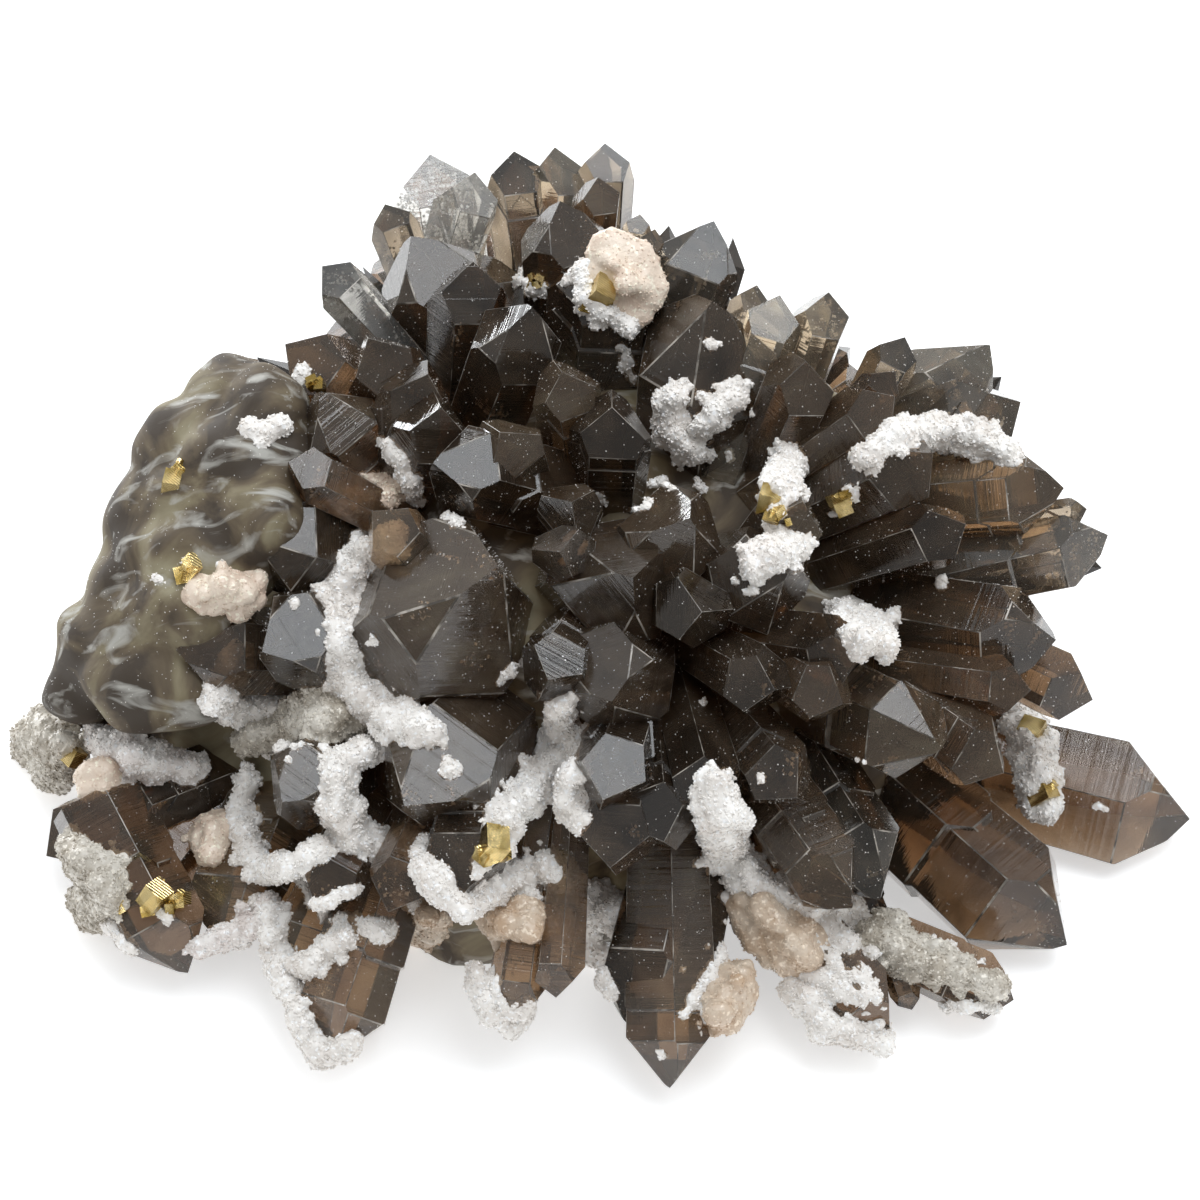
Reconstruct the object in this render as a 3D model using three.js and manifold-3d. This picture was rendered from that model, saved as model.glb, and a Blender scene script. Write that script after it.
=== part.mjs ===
// Calcite and pyrite on a radiating cluster of smoky quartz crystals, about 200 mm across.
// Millimetres, +Z up. The cluster lies on its flat broken root, and the origin is the middle of that rest face.
import * as THREE from "three";
import { ConvexGeometry } from "three/addons/geometries/ConvexGeometry.js";
import { mergeVertices } from "three/addons/utils/BufferGeometryUtils.js";
import Module from "manifold-3d";

const wasm = await Module();
wasm.setup();

// The cluster's driving sizes
const DOME = new THREE.Vector3(100, 86, 78); // half length, half depth and height of the shell that the tips reach
const ROOT = new THREE.Vector3(75, 61, 55); // half sizes of the massive quartz that the crystals grow from
const HEART = new THREE.Vector3(-4, 2, 16); // the point that the crystals radiate from
const ROOT_MIDDLE = new THREE.Vector3(-2, -3, 2);
const ROOT_REACH = 0.9; // crystals run in to this share of the root's half sizes
const SHORTEST = 16; // length of the shortest crystals
const LOWEST_TIP = 7; // height of the lowest tips over the rest face
const CONTACT_GAP = 0.3; // left between two minerals that touch
const PRISM_TAPER = THREE.MathUtils.degToRad(2); // each prism narrows a little to its root
const RHOMB_TILT = THREE.MathUtils.degToRad(51.8); // quartz: from the long axis to the normal of an end face
const SIX_ENDED = 14; // crystals wider than this show all six end faces

// Places are read in a picture of the cluster, taken from the front, looking down by 55 degrees.
// A place in it is [pixels to the right, pixels down], and one pixel is this many millimetres.
const PIXEL = 0.169;
const PICTURE_MIDDLE = 600;
const LOOK_DOWN = THREE.MathUtils.degToRad(55);
const LOOK_DISTANCE = 800;
const LOOK_AT = new THREE.Vector3(0, 0, 12);
const RIGHT = new THREE.Vector3(1, 0, 0);
const UPWARD = new THREE.Vector3(0, Math.sin(LOOK_DOWN), Math.cos(LOOK_DOWN));
const VIEWER = new THREE.Vector3(0, -Math.cos(LOOK_DOWN), Math.sin(LOOK_DOWN));
const pictureBasis = new THREE.Matrix4().makeBasis(RIGHT, UPWARD, VIEWER);
const EYE = LOOK_AT.clone().addScaledVector(VIEWER, LOOK_DISTANCE);

// Quartz crystals: tip place, width in mm, the way the tip points in the picture in degrees (0 right, 90 up),
// how many degrees it leans to the viewer, and its turn about its own axis. Each is as long as it takes to
// reach the massive root.
const CRYSTALS = [
  // back row, pale where light comes through
  { tip: [430, 154], wide: 14, head: 98, lean: 12, turn: 10 },
  { tip: [475, 172], wide: 11.5, head: 72, lean: 14, turn: 25 },
  { tip: [385, 204], wide: 8, head: 110, lean: 12, turn: 5 },
  { tip: [322, 266], wide: 10, head: 132, lean: 10, turn: 20 },
  { tip: [514, 151], wide: 12, head: 98, lean: 10, turn: 0 },
  { tip: [555, 147], wide: 12, head: 86, lean: 12, turn: 30 },
  { tip: [605, 143], wide: 11, head: 88, lean: 16, turn: 12 },
  { tip: [560, 201], wide: 15.5, head: 94, lean: 30, turn: 30 },
  { tip: [714, 221], wide: 16, head: 66, lean: 18, turn: 8 },
  { tip: [780, 295], wide: 11, head: 72, lean: 18, turn: 4 },
  { tip: [829, 292], wide: 11, head: 72, lean: 22, turn: 24 },
  { tip: [990, 345], wide: 18, head: 46, lean: 14, turn: 2 },
  { tip: [1021, 402], wide: 14, head: 18, lean: 14, turn: 30 },
  // upper left shoulder
  { tip: [411, 236], wide: 20, head: 112, lean: 32, turn: 26 },
  { tip: [473, 261], wide: 13, head: 84, lean: 36, turn: 12 },
  { tip: [532, 307], wide: 17, head: 66, lean: 44, turn: 34 },
  { tip: [285, 344], wide: 14, head: 142, lean: 26, turn: 8 },
  { tip: [320, 392], wide: 14.5, head: 118, lean: 40, turn: 20 },
  { tip: [368, 338], wide: 13, head: 118, lean: 42, turn: 2 },
  { tip: [428, 374], wide: 13, head: 60, lean: 52, turn: 16 },
  { tip: [441, 407], wide: 12.5, head: 62, lean: 56, turn: 30 },
  { tip: [433, 463], wide: 16, head: 166, lean: 44, turn: 30 },
  // middle, facing the viewer
  { tip: [612, 240], wide: 19, head: 84, lean: 42, turn: 6 },
  { tip: [712, 301], wide: 26, head: 84, lean: 46, turn: 26 },
  { tip: [806, 361], wide: 12, head: 68, lean: 46, turn: 30 },
  { tip: [612, 407], wide: 13, head: 86, lean: 58, turn: 2 },
  { tip: [633, 578], wide: 22, head: 20, lean: 78, turn: 10 },
  { tip: [690, 518], wide: 18, head: 48, lean: 66, turn: 26 },
  { tip: [498, 566], wide: 31, head: 37, lean: 54, turn: 60 },
  { tip: [612, 702], wide: 19, head: 262, lean: 72, turn: 30 },
  { tip: [702, 612], wide: 13, head: 340, lean: 74, turn: 20 },
  { tip: [803, 501], wide: 12, head: 52, lean: 56, turn: 28 },
  { tip: [788, 574], wide: 17, head: 8, lean: 64, turn: 4 },
  { tip: [775, 690], wide: 11, head: 330, lean: 60, turn: 22 },
  { tip: [862, 655], wide: 12, head: 352, lean: 42, turn: 30 },
  { tip: [797, 798], wide: 12, head: 310, lean: 50, turn: 8 },
  { tip: [714, 812], wide: 12, head: 284, lean: 50, turn: 26 },
  // right fan
  { tip: [933, 453], wide: 14, head: 24, lean: 36, turn: 28 },
  { tip: [1064, 488], wide: 15, head: 4, lean: 16, turn: 8 },
  { tip: [1108, 535], wide: 15, head: 13, lean: 6, turn: 30 },
  { tip: [966, 524], wide: 12, head: 18, lean: 38, turn: 14 },
  { tip: [1056, 640], wide: 17, head: 350, lean: 26, turn: 32 },
  { tip: [1093, 700], wide: 11.5, head: 334, lean: 14, turn: 22 },
  { tip: [1004, 773], wide: 12, head: 324, lean: 32, turn: 12 },
  { tip: [942, 748], wide: 16, head: 336, lean: 42, turn: 28 },
  { tip: [1190, 819], wide: 21, head: 346, lean: 8, turn: 30 },
  { tip: [1067, 945], wide: 24, head: 318, lean: 18, turn: 26 },
  { tip: [880, 900], wide: 17, head: 300, lean: 36, turn: 4 },
  // front fan
  { tip: [1014, 1000], wide: 11, head: 336, lean: 4, turn: 16 },
  { tip: [890, 1038], wide: 14, head: 312, lean: 4, turn: 28 },
  { tip: [640, 1036], wide: 20.5, head: 257, lean: 22, turn: 30 },
  { tip: [670, 1088], wide: 15, head: 271, lean: 4, turn: 30 },
  { tip: [610, 868], wide: 14, head: 258, lean: 44, turn: 12 },
  { tip: [603, 800], wide: 13, head: 250, lean: 56, turn: 2 },
  { tip: [512, 1016], wide: 9.5, head: 262, lean: 8, turn: 8 },
  { tip: [455, 902], wide: 15, head: 256, lean: 34, turn: 26 },
  { tip: [330, 1061], wide: 16.5, head: 252, lean: 8, turn: 30 },
  { tip: [290, 978], wide: 14, head: 246, lean: 24, turn: 14 },
  { tip: [316, 909], wide: 12, head: 240, lean: 36, turn: 2 },
  { tip: [282, 802], wide: 16, head: 216, lean: 56, turn: 22 },
  { tip: [404, 806], wide: 24, head: 226, lean: 54, turn: 10 },
  { tip: [222, 946], wide: 18, head: 250, lean: 30, turn: 32 },
  { tip: [188, 973], wide: 16, head: 298, lean: 8, turn: 8 },
  // left fan
  { tip: [46, 856], wide: 14, head: 205, lean: 16, turn: 24 },
  { tip: [112, 914], wide: 15, head: 232, lean: 18, turn: 4 },
  { tip: [103, 817], wide: 13, head: 202, lean: 24, turn: 30 },
  { tip: [52, 703], wide: 15, head: 184, lean: 16, turn: 12 },
  { tip: [262, 652], wide: 17, head: 198, lean: 52, turn: 18 },
  { tip: [245, 532], wide: 17, head: 164, lean: 42, turn: 28 },
];

// Crystals on the far side, hidden in the picture: the place that each tip lies behind, the tip's height over
// the rest face in mm, and the crystal's width.
const FAR_SIDE = [
  { behind: [162, 522], height: 12, wide: 15 },
  { behind: [214, 452], height: 12, wide: 14 },
  { behind: [277, 388], height: 13, wide: 16 },
  { behind: [335, 322], height: 14, wide: 13 },
  { behind: [385, 255], height: 14, wide: 15 },
  { behind: [442, 207], height: 14, wide: 13 },
  { behind: [505, 194], height: 14, wide: 17 },
  { behind: [575, 188], height: 15, wide: 14 },
  { behind: [646, 262], height: 14, wide: 16 },
  { behind: [715, 264], height: 14, wide: 13 },
  { behind: [790, 334], height: 14, wide: 15 },
  { behind: [865, 376], height: 13, wide: 12 },
  { behind: [945, 384], height: 13, wide: 15 },
  { behind: [998, 454], height: 12, wide: 13 },
  { behind: [352, 388], height: 32, wide: 16 },
  { behind: [408, 300], height: 34, wide: 15 },
  { behind: [472, 252], height: 36, wide: 16 },
  { behind: [548, 244], height: 37, wide: 17 },
  { behind: [640, 290], height: 36, wide: 15 },
  { behind: [735, 330], height: 34, wide: 16 },
  { behind: [825, 376], height: 30, wide: 15 },
  { behind: [915, 414], height: 27, wide: 14 },
];

// Rough massive quartz at the left wall: place, half sizes in mm across, up the picture and to the viewer
const BLOCKS = [
  { place: [236, 402], half: [8, 8, 9] },
  { place: [196, 452], half: [10, 9, 10] },
  { place: [250, 470], half: [12, 10, 10] },
  { place: [158, 518], half: [9, 9, 11] },
  { place: [212, 560], half: [12, 10, 9] },
  { place: [134, 588], half: [8, 8, 12] },
  { place: [112, 640], half: [9, 8, 12] },
  { place: [160, 680], half: [12, 9, 10] },
];

// Calcite crusts, rims and balls. Each strand is a run of [right, down, half width in mm].
const CALCITE = [
  { name: "calcite_rim_main", strands: [[[398, 537, 1.3], [362, 560, 1.8], [341, 592, 2], [339, 638, 1.8],
    [352, 684, 3], [378, 708, 3.2], [410, 724, 2.6], [438, 736, 1.6]]] },
  { name: "calcite_rim_second", strands: [[[370, 748, 1.8], [339, 768, 2.6], [338, 804, 3], [352, 838, 3],
    [394, 852, 2.2], [440, 854, 2], [477, 842, 1.6]]] },
  { name: "calcite_rim_third", strands: [[[248, 776, 1], [239, 806, 1.3], [247, 846, 1.4], [260, 872, 1.6],
    [290, 867, 1.3], [322, 852, 1]]] },
  { name: "calcite_rim_fifth", strands: [[[268, 912, 1.2], [281, 962, 1.6], [306, 966, 1.5], [345, 938, 1.2]]] },
  { name: "calcite_rim_low_left", strands: [[[274, 962, 1.1], [296, 1014, 1.3], [322, 1060, 1.6],
    [344, 1050, 1.3], [398, 966, 1]]] },
  { name: "calcite_rim_left", strands: [[[228, 632, 1.6], [227, 668, 2.2], [216, 706, 2.4], [246, 712, 2],
    [275, 706, 1.6]]] },
  { name: "calcite_band_left", strands: [[[200, 948, 1], [238, 934, 1.4], [274, 908, 1.2]]] },
  { name: "calcite_clump_left", strands: [[[250, 738, 3.2], [284, 726, 4.2], [320, 722, 4], [352, 704, 3.4],
    [378, 712, 2.2]]] },
  { name: "calcite_strut", strands: [[[560, 704, 1.2], [564, 742, 2.2], [530, 792, 3.2], [500, 822, 2.8]],
    [[564, 742, 2], [600, 776, 1.2]]] },
  { name: "calcite_rim_centre", strands: [[[566, 774, 1.2], [572, 806, 1.8], [590, 834, 2], [620, 842, 1.3]]] },
  { name: "calcite_crust_front", strands: [[[544, 858, 2], [564, 890, 2.8], [600, 908, 2.6], [634, 917, 1.8]]] },
  { name: "calcite_rim_right", strands: [[[712, 780, 2], [722, 818, 3.6], [732, 860, 3.2], [770, 892, 2.6],
    [812, 906, 2.6], [856, 909, 1.6]]] },
  { name: "calcite_tan_lobes", strands: [[[758, 900, 5], [792, 936, 6.2], [806, 962, 4]]] },
  { name: "calcite_tan_lobe_low", strands: [[[738, 980, 4.2], [714, 1012, 5]]] },
  { name: "calcite_crust_low_right", strands: [[[868, 930, 4.4], [905, 952, 5], [948, 968, 3.6],
    [1000, 985, 2]]] },
  { name: "calcite_rim_corner", strands: [[[800, 984, 3], [828, 1024, 2], [884, 1044, 1.4]]] },
  { name: "calcite_vee_front", strands: [[[422, 866, 1.6], [466, 912, 2.2], [524, 872, 1.6]]] },
  { name: "calcite_ball_west", strands: [[[430, 912, 3.4], [430, 944, 3.6]]] },
  { name: "calcite_ball_east", strands: [[[500, 918, 4.8], [538, 924, 5]]] },
  { name: "calcite_vee_low", strands: [[[472, 968, 1.2], [492, 1012, 1.6], [512, 1028, 1.4], [536, 986, 1.2],
    [574, 970, 1]]] },
  { name: "calcite_sausage_top", strands: [[[862, 456, 1.5], [896, 434, 2.2], [940, 430, 2.5], [976, 438, 2.3],
    [1008, 452, 1.6]]] },
  { name: "calcite_sheet_right", strands: [[[1018, 724, 3.4], [1032, 752, 4.4], [1040, 784, 4],
    [1046, 808, 2.6]]] },
  { name: "calcite_cream_blob", strands: [[[612, 262, 4.6], [632, 290, 5.2]]] },
  { name: "calcite_cream_rim", strands: [[[578, 268, 1.6], [594, 306, 2.2], [634, 326, 1.6]]] },
  { name: "calcite_patch_west", strands: [[[678, 392, 1.6], [668, 424, 2.4], [690, 450, 2.6]]] },
  { name: "calcite_patch_east", strands: [[[735, 394, 2], [716, 412, 2.8], [700, 428, 2]]] },
  { name: "calcite_rosette_west", strands: [[[342, 496, 3.4], [366, 500, 3.8], [390, 498, 2.8]]] },
  { name: "calcite_blush_left", strands: [[[192, 596, 4], [226, 584, 5.2], [248, 588, 3]]] },
  { name: "calcite_heart", strands: [[[212, 822, 4], [214, 850, 3.4]]] },
  { name: "calcite_ball_left", strands: [[[103, 778, 3.6]]] },
  { name: "calcite_crust_left", strands: [[[94, 742, 1.8], [130, 756, 2.6], [168, 766, 2.8], [194, 768, 2]]] },
  { name: "calcite_clump_far_left", strands: [[[22, 748, 2.6], [44, 730, 4], [68, 744, 4.2], [50, 776, 3.6]]] },
  { name: "calcite_druse_left", strands: [[[76, 852, 3.8], [104, 870, 4.6], [112, 900, 4], [84, 914, 4]]] },
  { name: "calcite_streak_right", strands: [[[792, 456, 1.8], [780, 486, 2.6], [776, 516, 2]]] },
  { name: "calcite_rosette_right", strands: [[[862, 612, 4.4], [862, 642, 4.6]],
    [[880, 650, 2], [918, 688, 2]]] },
  { name: "calcite_patch_centre", strands: [[[748, 570, 1.6], [772, 556, 2.8], [802, 546, 1.8]]] },
];

// Pyrite crystals: place and size in mm
const PYRITE = [
  { name: "pyrite_left_large", place: [155, 896], size: 3.6 },
  { name: "pyrite_left_small", place: [86, 905], size: 2.6 },
  { name: "pyrite_far_left", place: [74, 757], size: 2.6 },
  { name: "pyrite_left_wall", place: [172, 482], size: 2.8 },
  { name: "pyrite_streak", place: [770, 500], size: 3.4 },
  { name: "pyrite_right_spot", place: [842, 504], size: 2.6 },
  { name: "pyrite_sheet_upper", place: [1032, 731], size: 3.4 },
  { name: "pyrite_sheet_lower", place: [1042, 792], size: 3.4 },
  { name: "pyrite_front", place: [494, 842], size: 3.8 },
  { name: "pyrite_blob", place: [602, 291], size: 3.6 },
];

// A steady number from 0 to 1 for each whole number n, so that no two crystals are alike.
function wobble(n) {
  const s = Math.sin(n * 12.9898) * 43758.5453;
  return s - Math.floor(s);
}

// The point of a picture place that lies `depth` mm in front of the picture's middle plane.
function pointAt([right, down], depth) {
  const a = (right - PICTURE_MIDDLE) * PIXEL;
  const b = (PICTURE_MIDDLE - down) * PIXEL;
  const flat = RIGHT.clone().multiplyScalar(a).addScaledVector(UPWARD, b);
  return LOOK_AT.clone().addScaledVector(VIEWER, depth).addScaledVector(flat, 1 - depth / LOOK_DISTANCE);
}

// The depth where the ray of a place first meets the dome, or comes nearest to it, kept over the rest face.
function domeDepth(place) {
  const start = pointAt(place, 0);
  const step = pointAt(place, 1).sub(start);
  const p = start.clone().divide(DOME);
  const q = step.clone().divide(DOME);
  const half = p.dot(q) / q.dot(q);
  const inside = half * half - (p.dot(p) - 1) / q.dot(q);
  const depth = -half + Math.sqrt(Math.max(inside, 0));
  const lowest = (LOWEST_TIP - start.z) / step.z;
  return Math.max(depth, lowest);
}

// The point of a place's ray that is `height` over the rest face.
function pointAtHeight(place, height) {
  const start = pointAt(place, 0);
  const step = pointAt(place, 1).sub(start);
  return pointAt(place, (height - start.z) / step.z);
}

// The axis of a crystal that points `head` degrees round in the picture and leans to the viewer.
function axisOf(head, lean) {
  const h = THREE.MathUtils.degToRad(head);
  const l = THREE.MathUtils.degToRad(lean);
  return RIGHT.clone().multiplyScalar(Math.cos(l) * Math.cos(h))
    .addScaledVector(UPWARD, Math.cos(l) * Math.sin(h))
    .addScaledVector(VIEWER, Math.sin(l));
}

// A manifold solid from a closed three.js geometry.
function solidOf(geometry) {
  const bare = geometry.index ? geometry.toNonIndexed() : geometry.clone();
  bare.deleteAttribute("normal");
  bare.deleteAttribute("uv");
  const merged = mergeVertices(bare, 1e-4);
  return new wasm.Manifold(new wasm.Mesh({
    numProp: 3,
    vertProperties: merged.attributes.position.array,
    triVerts: new Uint32Array(merged.index.array),
  }));
}

// The three.js geometry of a manifold solid.
function geometryOf(solid) {
  const mesh = solid.getMesh();
  const corners = new Float32Array(mesh.triVerts.length * 3);
  mesh.triVerts.forEach((v, i) => {
    for (let k = 0; k < 3; k++) corners[3 * i + k] = mesh.vertProperties[v * mesh.numProp + k];
  });
  const geometry = new THREE.BufferGeometry().setAttribute("position", new THREE.BufferAttribute(corners, 3));
  geometry.computeVertexNormals();
  return geometry;
}

// The largest part of a solid that a cut or a join has left in several.
function largest(solid) {
  const parts = solid.decompose();
  return parts.reduce((best, part) => (part.volume() > best.volume() ? part : best));
}

// The corners of the convex body that holds every point p with n . p <= d for all planes [n, d].
function cornersOf(planes) {
  const corners = [];
  for (let i = 0; i < planes.length; i++)
    for (let j = i + 1; j < planes.length; j++)
      for (let k = j + 1; k < planes.length; k++) {
        const [a, b, c] = [planes[i][0], planes[j][0], planes[k][0]];
        const bc = b.clone().cross(c);
        const det = a.dot(bc);
        if (Math.abs(det) < 1e-5) continue;
        const p = bc.multiplyScalar(planes[i][1])
          .addScaledVector(c.clone().cross(a), planes[j][1])
          .addScaledVector(a.clone().cross(b), planes[k][1])
          .divideScalar(det);
        if (planes.some(([n, d]) => n.dot(p) > d + 1e-4)) continue;
        if (corners.every((q) => q.distanceTo(p) > 0.02)) corners.push(p);
      }
  return corners;
}

// A frame whose z is the axis and whose x leans to the viewer, turned about the axis.
function frameAlong(axis, turn) {
  const towards = Math.abs(axis.dot(VIEWER)) > 0.97 ? UPWARD : VIEWER;
  const x = towards.clone().addScaledVector(axis, -towards.dot(axis)).normalize();
  x.applyAxisAngle(axis, THREE.MathUtils.degToRad(turn));
  const y = axis.clone().cross(x);
  return new THREE.Matrix4().makeBasis(x, y, axis);
}

// One quartz crystal: six prism faces at uneven distances, three large end faces that meet at the tip, three
// small ones between them on a wide crystal, and a flat foot. `grow` moves every face out.
function crystalSolid({ tip, axis, wide, long, turn, number }, grow) {
  const planes = [];
  for (let i = 0; i < 6; i++) {
    const a = (i * Math.PI) / 3;
    const uneven = 0.86 + 0.24 * wobble(number * 7 + i);
    const side = new THREE.Vector3(Math.cos(a) * Math.cos(PRISM_TAPER), Math.sin(a) * Math.cos(PRISM_TAPER),
      -Math.sin(PRISM_TAPER));
    planes.push([side, (wide / 2) * 0.94 * uneven + grow]);
    const end = new THREE.Vector3(Math.cos(a) * Math.sin(RHOMB_TILT), Math.sin(a) * Math.sin(RHOMB_TILT),
      Math.cos(RHOMB_TILT));
    if (i % 2 === 0) planes.push([end, grow]);
    else if (wide > SIX_ENDED) planes.push([end, wide * (0.02 + 0.1 * wobble(number * 11 + i)) + grow]);
  }
  planes.push([new THREE.Vector3(0, 0, -1), long + grow]);
  const geometry = new ConvexGeometry(cornersOf(planes));
  geometry.applyMatrix4(frameAlong(axis, turn).setPosition(tip));
  return solidOf(geometry);
}

// A block of broken quartz: a convex body with flat sides at uneven distances, scaled to its half sizes.
function blockSolid({ place, half }, number, grow) {
  const FACES = 13;
  const planes = Array.from({ length: FACES }, (_, i) => {
    const z = 1 - (2 * (i + 0.5)) / FACES;
    const a = i * 2.39996 + number;
    const r = Math.sqrt(1 - z * z);
    const side = new THREE.Vector3(r * Math.cos(a), r * Math.sin(a), z);
    return [side, 0.8 + 0.2 * wobble(number * 17 + i)];
  });
  const geometry = new ConvexGeometry(cornersOf(planes));
  geometry.scale(half[0] + grow, half[1] + grow, half[2] + grow);
  geometry.applyMatrix4(pictureBasis.clone().setPosition(pointAt(place, domeDepth(place) - 0.8 * half[2])));
  return solidOf(geometry);
}

// A closed lumpy ball: the unit sphere pushed in and out by a slow wave, then scaled.
function lumpSolid(centre, basis, half, detail, number, grow) {
  const geometry = new THREE.IcosahedronGeometry(1, detail);
  const spots = geometry.attributes.position;
  const p = new THREE.Vector3();
  for (let i = 0; i < spots.count; i++) {
    p.fromBufferAttribute(spots, i);
    const wave = 1 + 0.12 * Math.sin(5 * p.x + number) * Math.sin(4 * p.y + 2 * number) * Math.sin(3 * p.z + 1);
    p.multiplyScalar(wave);
    p.set(p.x * (half[0] + grow), p.y * (half[1] + grow), p.z * (half[2] + grow));
    spots.setXYZ(i, p.x, p.y, p.z);
  }
  geometry.applyMatrix4(basis.clone().setPosition(centre));
  return solidOf(geometry);
}

const underFloor = solidOf(new THREE.BoxGeometry(600, 600, 200).translate(0, 0, -100));

// How far back from its tip a crystal runs until its middle is well inside the massive root, or nearest to it.
function lengthToRoot(tip, axis) {
  const inner = ROOT.clone().multiplyScalar(ROOT_REACH);
  const p = tip.clone().sub(ROOT_MIDDLE).divide(inner);
  const q = axis.clone().negate().divide(inner);
  const half = p.dot(q) / q.dot(q);
  const inside = half * half - (p.dot(p) - 1) / q.dot(q);
  return Math.max(-half - Math.sqrt(Math.max(inside, 0)), SHORTEST);
}

// The number that a crystal's own shape is worked out from, given by its place.
function numberOf([right, down]) {
  return right + 3 * down;
}

// Every crystal with its tip and axis as points in space, its length and its number.
function placedCrystals() {
  const near = CRYSTALS.map((c) => ({
    ...c,
    tip: pointAt(c.tip, domeDepth(c.tip)),
    axis: axisOf(c.head, c.lean),
    number: numberOf(c.tip),
  }));
  const far = FAR_SIDE.map(({ behind, height, wide }) => {
    const tip = pointAtHeight(behind, height);
    const number = numberOf(behind);
    return { tip, axis: tip.clone().sub(HEART).normalize(), wide, turn: 60 * wobble(number), number };
  });
  return [...near, ...far].map((c) => ({ ...c, long: lengthToRoot(c.tip, c.axis) }));
}

// The whole quartz: crystals, rough lumps and the massive root in one solid, cut flat where it rests.
function quartzSolid(grow) {
  const crystals = placedCrystals().map((c) => crystalSolid(c, grow));
  const blocks = BLOCKS.map((b, i) => blockSolid(b, i, grow));
  const root = lumpSolid(ROOT_MIDDLE, new THREE.Matrix4(), ROOT.toArray(), 1, 3, grow);
  return largest(wasm.Manifold.union([root, ...blocks, ...crystals]).subtract(underFloor));
}

const quartz = quartzSolid(0);
const quartzWithGap = quartzSolid(CONTACT_GAP);

const caster = new THREE.Raycaster();
const quartzMesh = new THREE.Mesh(geometryOf(quartz), new THREE.MeshBasicMaterial({ side: THREE.DoubleSide }));

// The depth of the quartz surface that shows at a place, or of the nearest surface a little way round it.
function surfaceDepth([right, down], around) {
  const depths = [];
  for (let i = 0; i < 7; i++) {
    const a = (i * Math.PI) / 3;
    const reach = i < 6 ? around : 0;
    const place = [right + reach * Math.cos(a), down + reach * Math.sin(a)];
    caster.set(EYE, pointAt(place, 0).sub(EYE).normalize());
    const hit = caster.intersectObject(quartzMesh)[0];
    if (hit) depths.push(hit.point.clone().sub(LOOK_AT).dot(VIEWER));
  }
  return depths.length ? Math.max(...depths) : domeDepth([right, down]) - 4;
}

// One strand of calcite: rings of four points round its centre line, deeper than wide so that it reaches down
// the crystal's side, closed by a point at each end. A strand of one place is a lumpy ball.
function strandSolid(strand, number, grow) {
  const AROUND = 14;
  const SIDES = 4;
  const DEEP = 1.5;
  const spots = strand.map(([right, down, half]) => {
    const depth = surfaceDepth([right, down], AROUND) - half * 0.7;
    return { at: pointAt([right, down], depth), half: half + grow };
  });
  if (spots.length === 1) {
    const { at, half } = spots[0];
    return lumpSolid(at, pictureBasis, [half, half, half], 1, number, 0);
  }
  const rings = spots.map(({ at, half }, i) => {
    const before = spots[Math.max(i - 1, 0)].at;
    const after = spots[Math.min(i + 1, spots.length - 1)].at;
    const along = after.clone().sub(before);
    const side = along.clone().cross(VIEWER).normalize();
    return Array.from({ length: SIDES }, (_, k) => {
      const a = (k * 2 * Math.PI) / SIDES;
      return at.clone().addScaledVector(side, half * Math.cos(a)).addScaledVector(VIEWER, half * DEEP * Math.sin(a));
    });
  });
  const first = spots[0].at.clone().sub(spots[1].at).setLength(spots[0].half * 0.8).add(spots[0].at);
  const last = spots.at(-1).at.clone().sub(spots.at(-2).at).setLength(spots.at(-1).half * 0.8).add(spots.at(-1).at);
  const corners = [];
  for (let k = 0; k < SIDES; k++) {
    const next = (k + 1) % SIDES;
    corners.push(first, rings[0][k], rings[0][next], last, rings.at(-1)[next], rings.at(-1)[k]);
    for (let i = 0; i + 1 < rings.length; i++) {
      const [a, b, c, d] = [rings[i][k], rings[i][next], rings[i + 1][next], rings[i + 1][k]];
      corners.push(a, c, b, a, d, c);
    }
  }
  const flat = new Float32Array(corners.flatMap((p) => p.toArray()));
  return solidOf(new THREE.BufferGeometry().setAttribute("position", new THREE.BufferAttribute(flat, 3)));
}

function calciteSolid(piece, number, grow) {
  return wasm.Manifold.union(piece.strands.map((s, i) => strandSolid(s, number + i, grow)));
}

// A pyrite crystal: a slightly long cube, half sunk in what it sits on.
function pyriteSolid({ place, size }, number, grow) {
  const half = size / 2;
  const planes = [];
  for (const s of [-1, 1]) {
    planes.push([new THREE.Vector3(s, 0, 0), half * 1.15 + grow]);
    planes.push([new THREE.Vector3(0, s, 0), half + grow]);
    planes.push([new THREE.Vector3(0, 0, s), half + grow]);
  }
  const geometry = new ConvexGeometry(cornersOf(planes));
  const axis = axisOf(360 * wobble(number + 40), 50);
  const at = pointAt(place, surfaceDepth(place, 3) + 0.45 * size);
  geometry.applyMatrix4(frameAlong(axis, 90 * wobble(number + 60)).setPosition(at));
  return solidOf(geometry);
}

const group = new THREE.Group();
group.name = "calcite_on_smoky_quartz";

function addMesh(name, solid, colour, roughness, metalness) {
  const material = new THREE.MeshStandardMaterial({ color: colour, roughness, metalness });
  const mesh = new THREE.Mesh(geometryOf(solid), material);
  mesh.name = name;
  group.add(mesh);
}

addMesh("smoky_quartz_cluster", quartz, 0x3b322b, 0.08, 0);

let taken = quartzWithGap;
PYRITE.forEach((piece, i) => {
  const solid = largest(pyriteSolid(piece, i, 0).subtract(taken).subtract(underFloor));
  addMesh(piece.name, solid, 0xb59a55, 0.3, 1);
  taken = taken.add(pyriteSolid(piece, i, CONTACT_GAP));
});
CALCITE.forEach((piece, i) => {
  const solid = largest(calciteSolid(piece, 10 * i, 0).subtract(taken).subtract(underFloor));
  addMesh(piece.name, solid, 0xe9e4dc, 0.6, 0);
  taken = taken.add(calciteSolid(piece, 10 * i, CONTACT_GAP));
});

export default group;
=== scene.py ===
import math
from itertools import combinations

import bmesh
import bpy
import numpy as np
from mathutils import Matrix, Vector
from mathutils.bvhtree import BVHTree


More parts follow.
